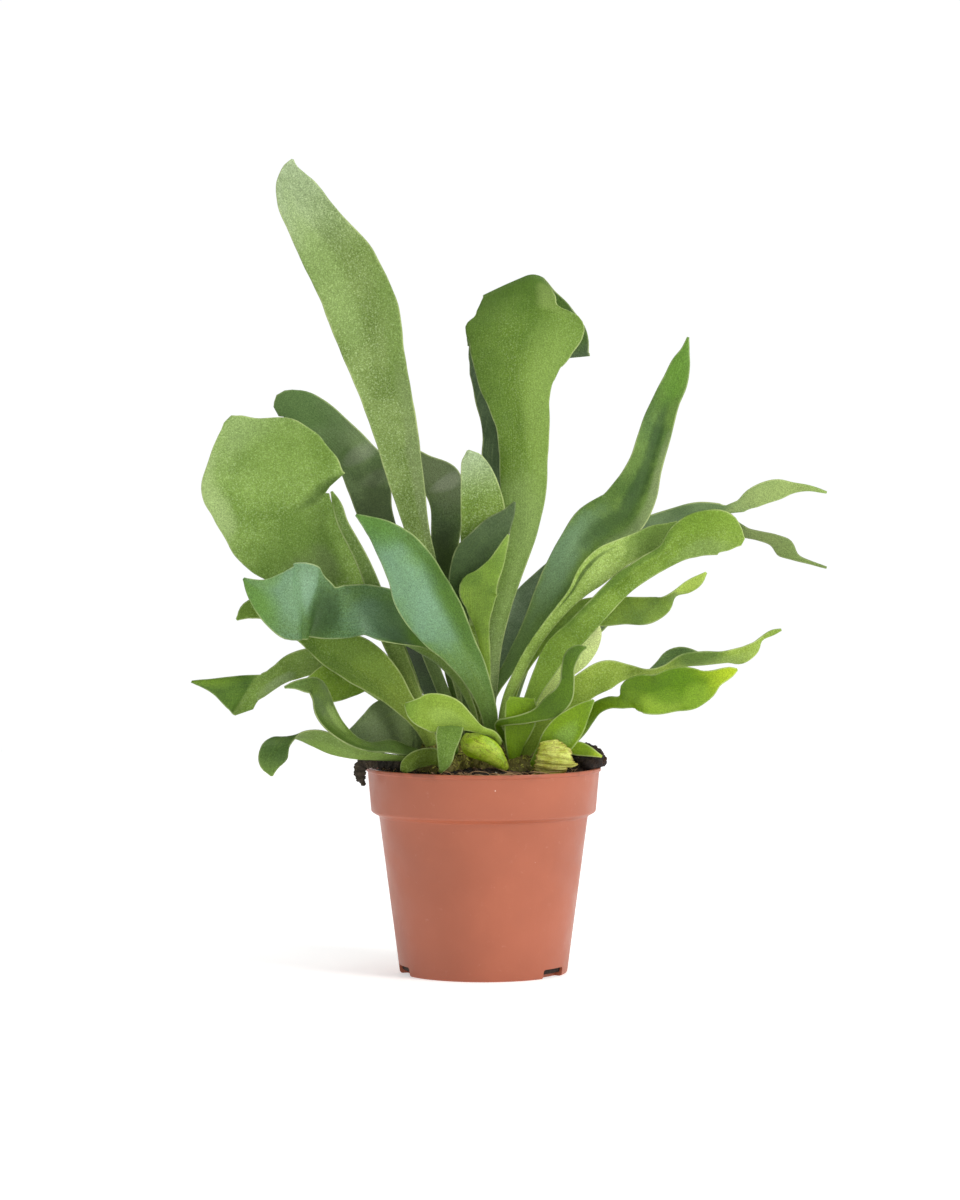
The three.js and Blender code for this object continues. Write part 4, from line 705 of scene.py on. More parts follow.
LEAVES["frond_pale_tip"] = dict(
    look="young", under=(124, 152, 62), tip=(178, 194, 162), fuzz=0.8,
    path=(
        (-4, 117, 8.5, 3, 3), (-4.5, 132, 8.5, 3, 3), (-5, 152, 8, 3, 3), (-4.5, 176, 6.5, 4, 4),
        (-3.4, 200, 4.5, 7, 7), (-1.5, 220, 3, 10, 10, 5, 5), (-0.6, 236, 2, 11, 11.3, 10, 10),
        (-2.4, 250, 1, 9.3, 9.3, 10, 10), (-5, 259, 0, 6.8, 7, 5, 5), (-6.8, 264, -1, 4.2, 4.2),
        (-8, 267, -1, 0.6, 0.6),
    ),
)
LEAVES["frond_young_centre"] = dict(
    look="bright", upper=(129, 159, 58), foot=(132, 160, 42), tip=(132, 162, 70),
    path=(
        (1.5, 117, -5, 2.5, 2.5), (1.5, 132, -5, 2.5, 2.5), (1, 150, -6, 2.5, 2.5),
        (0.5, 165, -8, 2.7, 2.7), (-1, 177, -9, 3.8, 3.8), (-2, 187, -11, 7, 7, 10, 10),
        (-2, 196, -13, 10.3, 9.6, 15, 10), (1.6, 202, -14, 6.4, 6.4, 10, 5), (5.8, 209, -14, 3.6, 4.6),
        (9.2, 216, -15, 2.2, 2.6), (12.8, 224, -15, 0.6, 0.6),
    ),
)
LEAVES["frond_small_dark"] = dict(
    look="dark", upper=(78, 102, 54), bloom_and_painted_sheen_amount=0.3,
    path=(
        (-6.6, 117, 1.8, 2.8, 2.8), (-8, 135, 2.8, 2.8, 2.8), (-9.6, 152, 2.8, 3, 3), (-11, 173, 0, 4, 4),
        (-11.4, 190, -2.6, 5.5, 5.5), (-9, 202, -4.5, 8.6, 8, 5, 5), (-4.5, 211.5, -5, 10.8, 9, 10, 5),
        (1.5, 220, -7, 9.2, 8.6, 10, 5), (8, 228.5, -9, 6.6, 6.4), (13, 235, -11, 3, 3),
        (16, 240.6, -12, 0.6, 0.6),
    ),
)
LEAVES["frond_dark_left"] = dict(
    look="dark", upper=(114, 135, 87), foot=(118, 140, 68),
    # Marks: painted highlight streaks where the ridge of the fold catches the light, painted shade lower
    # down, a greener top of its own
    painted_shading_and_colour_marks=(
        (0.2, 0.95, 1.5, 0.16, (104, 136, 74), 0.75), (0.3, 0.76, 0.9, 0.022, (150, 158, 134), 0.45),
        (0.4, 0.69, 0.8, 0.018, (140, 146, 124), 0.35), (0.0, 0.6, 1.6, 0.12, (64, 78, 44), 0.8),
    ),
    relief=((0.2, 0.77, 0.6, 0.05, 1.6), (0.0, 0.88, 0.6, 0.06, -1.2)),
    path=(
        (-11, 116, 15, 3, 3), (-16, 132, 16, 3, 3), (-24, 152, 18, 3, 3), (-34, 180, 22, 4, 4),
        (-45, 212, 25, 5.5, 5.5), (-54.5, 236, 26, 10.2, 8, 15), (-58.5, 250, 26, 11.5, 11, 20),
        (-61.8, 257.4, 26.6, 11, 12.6, 20), (-66, 264, 27, 10.5, 11, 15, 5), (-77, 275, 29, 10, 10.6, 5, 5),
        (-88, 283, 31, 9.5, 11.8, 5, 5), (-96.5, 287.6, 33, 8.4, 10.4), (-102, 288.6, 34, 6.6, 8),
        (-105.8, 286.6, 34, 3, 3),
    ),
)
LEAVES["frond_dark_middle"] = dict(
    look="dark", upper=(93, 116, 54), foot=(112, 138, 55),
    # Marks: a painted highlight along the ridge where the blade bends back, painted shade lower down
    painted_shading_and_colour_marks=(
        (0.3, 0.88, 1.5, 0.12, (116, 128, 94), 0.7), (0.2, 0.83, 0.9, 0.02, (160, 166, 144), 0.4),
        (0.0, 0.6, 1.5, 0.1, (50, 64, 30), 0.7),
    ),
    path=(
        (-8, 116, 23, 3, 3), (-10, 132, 21, 4, 3), (-13, 151, 20, 6, 3), (-17.5, 180, 20, 7, 4),
        (-20, 205, 21, 7, 5.5), (-19.2, 226, 21, 7.4, 7.6, 5, 5), (-19.8, 240, 20, 7.6, 10, 10, 10),
        (-24, 250.5, 20, 8, 12.6, 10, 15), (-31, 257.5, 21, 7, 7.6, 10, 10), (-38, 260.5, 22, 5, 7),
        (-45, 261, 22, 0.6, 0.6),
    ),
)
LEAVES["frond_broad_left"] = dict(
    look="pale", tangent_step=4.0, under=(126, 156, 70), foot=(120, 146, 80), tip_amount=0.25,
    # Marks: a painted highlight on the left margin, a painted shadow in the fold below the notch, darker and
    # greyer patches lower on the blade
    painted_shading_and_colour_marks=(
        (-1.0, 0.85, 0.3, 0.13, (172, 194, 128), 0.65), (0.62, 0.705, 0.5, 0.022, (76, 100, 42), 0.75),
        (-0.2, 0.6, 1.2, 0.1, (98, 128, 50), 0.6), (-0.5, 0.55, 0.7, 0.06, (116, 132, 86), 0.5),
        (0.5, 0.86, 0.7, 0.12, (116, 146, 60), 0.4), (0.2, 0.97, 0.9, 0.06, (138, 162, 98), 0.5),
    ),
    relief=(
        (0.62, 0.705, 0.35, 0.035, -1.8), (-0.7, 0.82, 0.35, 0.14, 1.5), (-0.1, 0.76, 0.35, 0.08, -0.9),
    ),
    path=(
        (-28, 116, 3, 3, 3), (-31, 130, 3, 2.8, 2.8), (-36, 148, 3, 2.8, 2.8), (-43, 165, 4, 3.5, 3.5),
        (-53, 182, 5, 7, 6, 10), (-66, 197.5, 5, 17, 10, 10), (-80, 213, 4, 28, 13, 10, 5),
        (-91, 227, 2, 35, 18, 10, 10), (-95.8, 233, 1.4, 36.2, 21, 10, 10),
        (-97.4, 235.2, 1.2, 36.4, 21.8, 10, 10), (-98, 236.2, 1, 36.4, 33, 10, 10),
        (-98.7, 237.2, 0.9, 36.4, 33.2, 10, 10), (-102, 242, 0, 36.2, 34.4, 10, 10),
        (-107.6, 251, -2, 35.6, 33.4, 10, 12), (-113, 259.5, -4, 34.4, 32, 8, 12),
        (-119, 269, -6, 29.4, 25.6, 5, 10), (-124.5, 276.5, -8, 18, 11), (-128, 281, -10, 9.6, 5.4),
        (-130.2, 283.2, -11, 3.4, 2.4),
    ),
)
LEAVES["frond_narrow_left"] = dict(
    look="green_under", under=(98, 124, 56), foot=(146, 165, 73),
    path=(
        (-26, 116, -9, 2.5, 2.5), (-29, 127, -8, 2.5, 2.5), (-35, 143, -5, 3.2, 3),
        (-42, 160, -4, 5.2, 3.6, 10, 5), (-50, 180, -4, 5.6, 3.6, 10, 5),
        (-56.8, 198, -5, 3.7, 3.7, 15, 10), (-61.5, 210, -5, 3.4, 3.2, 15, 10),
        (-66.5, 220, -6, 3.2, 2.8, 15, 10), (-71.5, 230, -6, 3, 2.2), (-74.5, 239, -6, 2.4, 2),
        (-77.6, 246, -6, 0.6, 0.6),
    ),
)
LEAVES["frond_teal_front"] = dict(
    look="teal", upper=(88, 125, 42), foot=(116, 143, 52),
    # Marks: painted highlights down the left of the blade, painted shade at the lower right, a greener tip
    painted_shading_and_colour_marks=(
        (-0.3, 0.66, 0.9, 0.22, (132, 170, 140), 0.55), (-0.2, 0.5, 0.8, 0.16, (126, 164, 132), 0.45),
        (0.75, 0.42, 0.5, 0.3, (76, 112, 38), 0.65), (0.2, 0.94, 1.1, 0.12, (84, 126, 42), 0.7),
    ),
    relief=((-0.2, 0.62, 0.5, 0.2, 1.6), (0.5, 0.75, 0.4, 0.14, -1.4)),
    path=(
        (4.2, 116, -9, 3.2, 3.2), (3, 131, -10, 4, 4), (-1.2, 145, -12, 5.5, 5.5), (-6, 155, -15, 7.4, 7.4),
        (-12.2, 165, -18, 9.6, 9.2, 8, 8), (-21.4, 178, -22, 13.4, 13.4, 10, 10),
        (-30.4, 192, -26, 14.8, 14.6, 10, 10), (-37.2, 206, -29, 12.6, 13, 8, 8),
        (-44.6, 217, -30, 10.2, 10.6, 6, 6), (-52.5, 225.5, -31, 6.8, 6.6), (-60, 231, -31, 3.2, 2.6),
        (-65.2, 234, -32, 0.6, 0.6),
    ),
)
LEAVES["frond_teal_side"] = dict(
    look="teal", upper=(76, 107, 26), foot=(113, 139, 43),
    # Marks: a painted highlight on the ridge, painted shade in the valley below it, a teal patch lower down
    # and a greener tip
    painted_shading_and_colour_marks=(
        (0.2, 0.83, 0.9, 0.09, (126, 162, 130), 0.5), (0.5, 0.775, 0.8, 0.025, (142, 176, 148), 0.4),
        (-0.1, 0.7, 1.1, 0.05, (52, 78, 38), 0.75), (-0.2, 0.5, 0.9, 0.12, (100, 130, 102), 0.5),
        (-0.6, 0.94, 0.8, 0.09, (96, 138, 50), 0.7), (0.7, 0.95, 0.5, 0.06, (112, 150, 84), 0.5),
        (0.6, 0.42, 0.6, 0.12, (66, 98, 34), 0.5),
    ),
    relief=((0.2, 0.83, 0.6, 0.06, 2.0), (-0.1, 0.71, 0.7, 0.05, -1.6)),
    path=(
        (-1.5, 116, -5.5, 3, 3, 20, 20, 95), (-5.4, 133, -5.5, 4, 4, 50, 50, 95),
        (-12, 146, -5, 6, 6, 65, 60, 92), (-23, 158, -4, 9, 9, 70, 50, 85),
        (-35.5, 166.5, -5, 11, 12, 65, 25, 70), (-47, 176.5, -9, 12, 19, 45, 5, 32),
        (-60, 185, -15, 12.5, 13.4, 15, 5, 10), (-72, 184.4, -18, 13.6, 13.4, 5, 5, 5),
        (-80, 186, -19, 15.4, 11.6, 5, 5), (-84.5, 187.8, -21, 17.2, 14, 5, 5),
        (-88, 188.6, -24, 18.2, 18, 5, 5), (-92, 189.5, -27, 19.2, 19.8, 8, 5),
        (-100, 189.5, -33, 18.5, 18, 10, 5), (-108, 191.5, -36, 12.5, 13.8, 8, 5),
        (-115, 195, -38, 6.6, 7.4), (-120, 199.2, -39, 2.8, 2.6), (-122.6, 201.6, -39, 0.6, 0.6),
    ),
)
LEAVES["frond_strap_left"] = dict(
    look="green_under", under=(98, 128, 38), foot=(136, 155, 60),
    painted_shading_and_colour_marks=((0.4, 0.5, 0.5, 0.2, (112, 140, 56), 0.6), (-0.7, 0.5, 0.4, 0.25, (82, 108, 38), 0.5)),
    path=(
        (-25, 114, -17, 3, 3), (-32, 127, -16, 4, 4), (-42, 138.5, -14, 5.6, 6.4),
        (-52, 149, -12, 8.4, 10.4, 5, 5), (-64, 158, -8, 10.4, 13, 5, 8), (-78, 164.5, -3, 8, 11, 0, 5),
        (-92, 173.5, -2, 4.8, 9), (-104, 181, -5, 5, 8.5), (-113, 185, -7, 4, 7.4),
        (-120, 184.6, -8, 3.6, 5), (-126.2, 180.4, -8, 0.6, 0.6),
    ),
)
LEAVES["frond_twisted_left"] = dict(
    look="green_under", fold=0.8, upper=(88, 122, 34), under=(121, 149, 67), foot=(144, 164, 60),
    bloom_and_painted_sheen_amount=0.1,
    painted_shading_and_colour_marks=(
        (0.2, 0.97, 0.8, 0.12, (120, 154, 44), 0.6), (0.0, 0.42, 1.4, 0.14, (84, 112, 42), 0.7),
        (-0.6, 0.7, 0.5, 0.06, (140, 158, 116), 0.5),
    ),
    path=(
        (-22, 107.6, 9, 3, 3, -10, -10, -60), (-27.6, 115, 15, 3, 3, -10, -10, -60),
        (-36, 124, 17, 4, 4, -10, -10, -60), (-46, 136, 18, 5, 5, -10, -10, -55),
        (-58, 147, 19, 6.5, 6.5, -5, -5, -45), (-72, 155.5, 17, 7.8, 7.8, 0, 0, -35),
        (-86, 159.5, 13, 8.2, 7.8, 0, 0, -28), (-97, 156.8, 10, 8, 7.4, 0, 0, -27),
        (-105.4, 152.2, 7.4, 6.2, 5.6, 0, 0, -25), (-110.9, 150, 4.6, 9, 4.5, 0, 0, -16, -17),
        (-113.7, 149.3, 2.4, 13.2, 4.2, 0, 0, -6, -32), (-114.6, 149, 1.2, 16.2, 4.1, 0, 0, 0, -35),
        (-115.5, 148.9, 0.4, 20.4, 4, 0, 0, 0, -38), (-116.8, 148.8, 0, 20, 4, 0, 0, 0, -37),
        (-124, 148.3, 0.4, 15, 4.1, 0, 0, 0, -33), (-133.6, 148, 2, 7.2, 3.7, 0, 0, 0, -36),
        (-142, 148.1, 3, 2.8, 2.4, 0, 0, 0, -36), (-149.3, 148.8, 4, 0.6, 0.6, 0, 0, 0, -20),
    ),
)
LEAVES["frond_short_left"] = dict(
    look="green_under", under=(117, 148, 36), foot=(115, 143, 43),
    path=(
        (-27, 113, 8, 3, 3), (-36, 128, 7, 3, 3), (-46, 140, 6, 3.4, 3.4), (-56, 148.4, 4, 4, 4.6),
        (-66, 150, 3, 8.6, 7.6), (-75, 149.6, 2, 10.6, 9), (-82, 148.6, 2, 10, 8),
        (-89, 147.6, 2, 4.4, 3.6), (-93, 147, 2, 0.8, 0.8),
    ),
)
LEAVES["frond_curled_left"] = dict(
    look="green", upper=(82, 106, 28), under=(90, 116, 52), foot=(80, 100, 35),
    # Marks: painted shade along the curled left half, a lighter patch on the right, a darker foot
    painted_shading_and_colour_marks=(
        (-0.8, 0.55, 0.5, 0.3, (60, 84, 22), 0.7), (0.4, 0.62, 0.5, 0.1, (130, 156, 76), 0.6),
        (0.0, 0.2, 1.4, 0.16, (66, 88, 32), 0.7),
    ),
    path=(
        (-25, 111.5, -24, 3, 3, 0, 0, 80), (-36, 113, -29, 4.4, 4.4, 0, 0, 68),
        (-47, 115.4, -34, 5.4, 5.4, 0, 0, 58), (-57, 115.2, -38, 4.6, 4.6, 0, 0, 66),
        (-66, 118, -41, 5.8, 5, 20, 0, 60), (-74.5, 125, -43, 8.4, 5.2, 40, 0, 45),
        (-80.6, 134, -44, 7.4, 5.2, 40, 0, 25), (-83, 142, -44, 5.4, 4.6, 20, 0, 20),
        (-86, 146.6, -44, 4.6, 4.2, 0, 0, 10), (-91.5, 147.4, -44, 3.8, 2.8), (-97, 147, -44, 1.8, 1.6),
        (-101.8, 145.8, -44, 0.6, 0.6),
    ),
)
LEAVES["frond_low_left"] = dict(
    look="green_under", front="upper", upper=(82, 110, 42), under=(110, 136, 66), foot=(115, 141, 57),
    painted_shading_and_colour_marks=((0.5, 0.5, 0.6, 0.2, (120, 150, 62), 0.5),),
    path=(
        (-27, 108, -29, 3, 3, 0, 0, 110), (-40, 109.4, -30, 4, 4, 0, 0, 112),
        (-54, 110.6, -30, 4.8, 4.8, 0, 0, 118), (-66, 112.6, -31, 6, 6, 0, 0, 128),
        (-77, 116.6, -32, 7, 7, 0, 0, 138), (-87, 120, -33, 6.8, 6.4, 0, 0, 130),
        (-96, 121, -35, 6, 6, 0, 0, 100), (-102.6, 118, -39, 5.4, 7, 0, 0, 48),
        (-107, 112.4, -42, 7.2, 7.2, 0, 0, 12), (-108.8, 106, -43, 4.8, 5.6),
        (-108.3, 100.3, -43, 0.6, 0.6),
    ),
)
LEAVES["frond_grey_left"] = dict(
    look="dark", upper=(108, 124, 89), foot=(114, 136, 65), bloom_and_painted_sheen=(112, 126, 98),
    path=(
        (-22, 113, -2, 3, 3, 0, 0, 0, 20), (-29, 123.5, -4, 10.5, 5, 0, 0, 0, 50),
        (-36, 131.5, -4, 19, 6, 0, 0, 0, 30), (-44, 133, -5, 21.5, 8), (-51, 130.5, -7, 19, 8.6),
        (-58.5, 126.6, -9, 13, 6), (-65, 123.6, -11, 7, 3.2), (-70.6, 122, -12, 0.6, 0.6),
    ),
)
LEAVES["frond_young_pale"] = dict(
    look="young", under=(136, 164, 61), foot=(137, 164, 52), tip=(96, 132, 44), fuzz=0.15,
    painted_shading_and_colour_marks=((-0.2, 0.6, 0.6, 0.2, (160, 188, 90), 0.5),),
    path=(
        (8, 117, -20, 2, 2), (5, 121.5, -26, 1.8, 1.8), (-2, 124.4, -32.5, 2, 2),
        (-9, 128, -36.4, 4.4, 5, 10), (-17, 132, -38, 8.6, 8, 15, 5), (-26, 134, -39, 10.8, 8.6, 15, 10),
        (-33.5, 134.6, -39, 7.4, 6.6, 10, 25), (-38, 136.2, -39, 3.6, 3.6, 0, 40),
        (-40.2, 137.4, -39, 0.8, 0.8),
    ),
)
LEAVES["frond_young_hanging"] = dict(
    look="green", across=(1, 0, 0), upper=(26, 70, 2), foot=(86, 118, 20),
    path=(
        (-15.4, 112, -27.4, 2.2, 2.2), (-15.8, 117, -32, 2.8, 2.8), (-16, 120.8, -37.4, 4, 4),
        (-16.2, 124.6, -42, 5.8, 5.8), (-16.8, 125, -45.5, 6.2, 6.2), (-17.8, 121, -47.5, 6.4, 6),
        (-18.8, 114.6, -48, 4.8, 4.4), (-19.8, 108, -48.4, 3.4, 3.4), (-22, 102, -48.4, 0.8, 0.8),
    ),
)
LEAVES["shield_front"] = dict(
    look="shield",
    path=(
        (11.5, 103.9, -28.6, 2, 2, -10, -10, 0, 3), (9.8, 106.1, -30, 3, 3, -25, -25, 0, 3),
        (7.2, 108.8, -31.6, 4.6, 4.6, -35, -35, 0, -9), (3.8, 111.7, -32.8, 6.2, 6.2, -35, -35, 0, -15),
        (-0.8, 114.4, -33.2, 7.2, 7.2, -35, -35, 0, -19), (-5.4, 116.5, -32, 6.9, 6.9, -35, -35, 0, -13),
        (-8.7, 118.6, -29.6, 5.3, 5.3, -30, -30, 0, 2), (-10.5, 120.4, -27.4, 3.1, 3.1, -20, -20, 0, 12),
    ),
)
LEAVES["frond_tiny_arched"] = dict(
    look="young", under=(79, 98, 9), foot=(87, 108, 21), tip_amount=0.0,
    path=(
        (-20, 108, -31.5, 3.4, 3.4), (-26, 110.2, -36.4, 4, 4.4), (-31.5, 109.8, -38, 4.6, 4.4),
        (-36.6, 107.6, -39, 4, 4), (-40, 104.4, -40.5, 3, 3), (-41.2, 102.4, -41, 1.6, 1.6),
    ),
)
LEAVES["shield_dry"] = dict(
    look="dry", ragged=1.0,
    path=(
        (32.5, 100, -35, 7, 8.4, -15, -15), (33.3, 103.6, -37, 7.2, 9, -15, -15),
        (33.5, 105.4, -37.8, 7.2, 9.4, -15, -15), (33.7, 106.7, -38.2, 7.2, 14, -15, -15),
        (33.8, 108, -38.4, 7, 13, -15, -15), (34, 110, -38.8, 6.8, 11.4, -15, -15),
        (34.2, 112.4, -38.6, 6.4, 10.8, -15, -15), (34, 114.9, -38, 6, 8.4, -15, -15),
        (33.6, 117, -37.2, 5.8, 6, -10, -10), (33.2, 118.6, -36.4, 4.8, 4.6, -10, -10),
    ),
)
LEAVES["frond_upright_right"] = dict(
    look="teal", upper=(107, 136, 56), foot=(130, 156, 85), bloom_and_painted_sheen_amount=0.25,
    # Marks: a painted highlight low on the blade, painted shade in the valley, a painted highlight along the
    # right margin, a greener tip
    painted_shading_and_colour_marks=(
        (-0.2, 0.42, 0.9, 0.14, (128, 160, 124), 0.6), (0.1, 0.68, 0.4, 0.2, (52, 80, 34), 0.8),
        (0.9, 0.64, 0.35, 0.14, (146, 160, 112), 0.6), (0.3, 0.55, 0.7, 0.08, (72, 100, 44), 0.6),
        (0.0, 0.95, 1.2, 0.1, (94, 136, 40), 0.7), (0.0, 0.24, 1.4, 0.14, (118, 148, 84), 0.6),
    ),
    relief=((0.25, 0.68, 0.3, 0.16, -2.0), (-0.4, 0.45, 0.4, 0.1, 1.4)),
    path=(
        (-2, 116, 11, 3, 3), (-1, 127, 12, 3, 3), (1.6, 137, 13, 3, 3), (6, 146, 13, 3, 3),
        (11, 153.4, 13, 3, 3.2), (16.4, 162.4, 13, 3.6, 3.6), (23.8, 176, 14, 4.6, 5.6),
        (31.5, 190, 15, 7, 8, 5), (38.6, 203, 16, 8.6, 9, 8), (46, 215.5, 17, 9.6, 9.4, 8),
        (57, 227, 19, 12.6, 12, 5, 5), (69.5, 234.6, 21, 13, 13.4, 5, 5),
        (77.6, 246.5, 23, 11.2, 11.6, 5, 10), (82.6, 259.4, 24, 8.8, 8.8, 5, 15),
        (86.2, 271.2, 25, 8.2, 8.4, 5, 15), (89.2, 280.6, 26, 8, 8, 5, 15),
        (92.9, 291.5, 27, 6.9, 7, 5, 10), (98, 303, 28, 6.1, 6.3), (101, 312, 29, 4.6, 4.4),
        (103.2, 319, 29, 1.9, 1.7), (104.3, 324.6, 29, 0.6, 0.6),
    ),
)
LEAVES["frond_shade_right"] = dict(
    look="dark", upper=(136, 156, 124), foot=(130, 152, 112), bloom_and_painted_sheen=(146, 160, 136),
    path=(
        (-4, 115, 18, 3, 3), (-3, 127, 19, 3, 3), (0, 139, 20, 3, 3), (5, 151, 20, 3.4, 3.2),
        (11, 165, 21, 6, 6), (17, 178.4, 22, 9.6, 8), (24, 190.5, 24, 8.4, 8), (31, 201, 26, 5.6, 6),
        (38, 210, 28, 3, 3), (43, 216, 29, 0.6, 0.6),
    ),
)
LEAVES["frond_folded_right"] = dict(
    look="pale", under=(165, 192, 98), foot=(142, 171, 67), tip_amount=0.0,
    # Marks: a painted shadow in the slit of the fold, and a darker, greener tip
    painted_shading_and_colour_marks=((-0.55, 0.64, 0.16, 0.14, (70, 94, 40), 0.8), (0.1, 0.93, 1.6, 0.13, (92, 122, 46), 0.8)),
    relief=((-0.5, 0.64, 0.2, 0.16, -1.6),),
    path=(
        (11, 113, -6, 2.4, 2.4), (10, 126, -6, 2.4, 2.4), (12, 139, -6, 2.4, 2.4), (17, 151, -7, 2.6, 2.6),
        (22.6, 162, -7, 2.6, 2.6), (30.4, 174, -8, 2.6, 2.6, 20), (39.6, 185.5, -9, 3, 3, 30),
        (46.6, 193.4, -10, 4, 4, 30), (54, 202.6, -10, 7.2, 7.2, 35), (62, 209.8, -10, 8.2, 8.2, 35),
        (71, 215, -10, 7, 7, 25), (80, 219.4, -9, 6, 6.6, 15), (88.6, 223.4, -8, 5.6, 5.6),
        (94.6, 227, -8, 3, 3.2), (99, 230.4, -8, 0.6, 0.6),
    ),
)
LEAVES["frond_broad_right"] = dict(
    look="green_under", under=(124, 154, 56), foot=(124, 158, 42), tip=(130, 158, 62),
    painted_shading_and_colour_marks=(
        (-0.9, 0.62, 0.5, 0.22, (84, 114, 38), 0.8), (0.7, 0.88, 0.5, 0.12, (142, 164, 100), 0.35),
        (-0.6, 0.9, 0.6, 0.1, (118, 152, 44), 0.5),
    ),
    relief=((-0.3, 0.66, 0.3, 0.2, -1.2),),
    path=(
        (15, 111, -11, 3, 3), (19, 126, -11, 3, 3), (24.4, 140.4, -12, 3.4, 3.4), (30.6, 153, -13, 5, 5),
        (37.6, 164.8, -15, 6.4, 6.4), (47.4, 174, -17, 6.4, 6.2, 0, 5), (58.6, 186, -19, 6, 6, 0, 5),
        (71.5, 199, -20, 5.7, 5.6, 0, 5), (83.5, 207.4, -21, 5.7, 5.6), (94, 213.8, -22, 6, 6),
        (103, 220.6, -23, 10, 9.4), (113.6, 224.6, -24, 11.4, 11), (122, 225, -25, 10.6, 10.8),
        (128, 222.6, -25, 6.6, 7.4), (132.6, 220.2, -26, 2, 2.4),
    ),
)
LEAVES["frond_forked_right"] = dict(
    look="dark", upper=(106, 132, 82), foot=(88, 112, 42), tip=(146, 177, 84), lobe_tones=(0.96, 0.56),
    bloom_and_painted_sheen=(134, 152, 116), tip_start=0.72, tip_amount=0.9,
    painted_shading_and_colour_marks=((0.0, 0.86, 1.5, 0.1, (166, 184, 108), 0.55),),
    path=(
        (8, 112, 25, 3, 3), (12, 130, 29, 3, 3), (22, 160, 36, 3, 3, 0, 0, 20),
        (40, 195, 38, 3, 3, 0, 0, 40), (60, 218, 39, 4, 4, 0, 0, 50), (78, 228, 39, 5, 5, 0, 0, 55),
        (94, 232.6, 38, 6, 6, 0, 0, 50), (110, 235.2, 37, 7, 7.4, 0, 0, 40),
        (123.6, 234.6, 36, 5.6, 8.6, 0, 0, 30),
    ),
    lobes=(
        (
            (131, 238.6, 36, 3.4, 4, 0, 0, 25), (137, 242.4, 35, 5.2, 5.6, 0, 0, 20),
            (144, 245.4, 35, 6, 6, 0, 0, 20), (151, 247, 35, 5.6, 5.4, 0, 0, 20),
            (158, 247.8, 35, 2.8, 2.8, 0, 0, 15), (166, 247.6, 34, 1.4, 1.4, 0, 0, 10),
            (175.2, 245.4, 34, 0.6, 0.6),
        ),
        (
            (133, 226, 36, 2, 3.6, 0, 0, 10), (141, 223.2, 37, 2.4, 2.4), (148, 221, 38, 3.2, 3),
            (153.6, 217.4, 39, 4.8, 5.2), (160, 212.2, 40, 1.6, 1.8), (167, 209.6, 41, 0.8, 0.8),
            (175.2, 207, 42, 0.6, 0.6),
        ),
    ),
)
LEAVES["frond_strap_right"] = dict(
    look="green", upper=(134, 162, 46), foot=(127, 153, 48),
    painted_shading_and_colour_marks=((-0.3, 0.95, 1.5, 0.1, (170, 194, 84), 0.85), (0.0, 0.86, 1.5, 0.025, (84, 112, 30), 0.7)),
    path=(
        (10, 112, 5, 2.4, 2.4), (12, 129, 4, 2.4, 2.4), (16.6, 148, 3, 2.4, 2.4),
        (26.6, 164.6, 4, 2.8, 2.8), (38.4, 178, 5, 3.6, 3.6), (49, 185, 5, 5, 5.4),
        (60, 185.6, 4, 6.6, 8.4, 5, 5), (72, 185.2, 2, 6.9, 7, 5, 5), (84, 185.3, 0, 6.7, 6.7, 5, 5),
        (91.6, 188, -1, 5, 5, 0, 0, 20), (97.2, 193.4, -2, 3.2, 3.2, 0, 0, 60),
        (104.2, 197, -3, 3.3, 3.3, 0, 0, 25), (110, 200.8, -4, 2.4, 2.4), (113.8, 204.6, -4, 0.6, 0.6),
    ),
)
LEAVES["frond_pale_right"] = dict(
    look="very_pale", under=(216, 235, 148), foot=(199, 217, 121),
    path=(
        (18, 112, -2, 2.4, 2.4), (24, 130, -2, 2.4, 2.4), (33, 147, -3, 4.4, 4.4), (42, 155, -3, 4.4, 4.6),
        (50, 161, -3, 4, 4.4), (55.4, 168.4, -2, 3.6, 3.8), (58.4, 174.4, -2, 2.2, 1.8),
        (58.6, 178, -2, 0.6, 0.6),
    ),
)
LEAVES["frond_funnel"] = dict(
    look="bright", upper=(123, 160, 2), foot=(108, 140, 2), tip=(130, 160, 50), tip_amount=0.25,
    path=(
        (15.2, 107, -20, 2, 2), (15.6, 115, -21, 4, 4.6, 15, 15), (16.2, 123, -22, 5.4, 8, 20, 20),
        (17.4, 129.6, -23, 6.6, 9.4, 20, 20), (18.6, 134.4, -23, 7.6, 8.6, 20, 20),
        (19.4, 138.4, -23, 8, 8, 20, 20), (19.6, 140.8, -23, 7.4, 7.4, 20, 20),
    ),
)
LEAVES["frond_hook_right"] = dict(
    look="green", slot="frond_upper_dark", upper=(76, 108, 2), foot=(92, 123, 12), bloom_and_painted_sheen_amount=0.1,
    path=(
        (14, 108, -15, 1.8, 1.8), (13, 115, -15.5, 1.8, 1.8), (10.4, 121, -16.5, 1.8, 1.8),
        (7.8, 125, -19, 1.8, 1.8), (8, 127.2, -23, 1.8, 1.8), (12.6, 128.4, -27, 1.8, 1.8),
        (20, 129.6, -29, 2.4, 2.4), (27, 131.6, -30, 3.2, 3.2), (34.4, 135.4, -31, 5.6, 5.4),
        (40.2, 141, -32, 5.4, 5.2), (42.8, 149, -33, 3.5, 3.5), (43.2, 156, -34, 3.2, 3.2),
        (45.2, 162, -34, 3.5, 3.5), (48.2, 165, -35, 2.6, 2.6), (52.6, 166.4, -35, 0.6, 0.6),
    ),
)
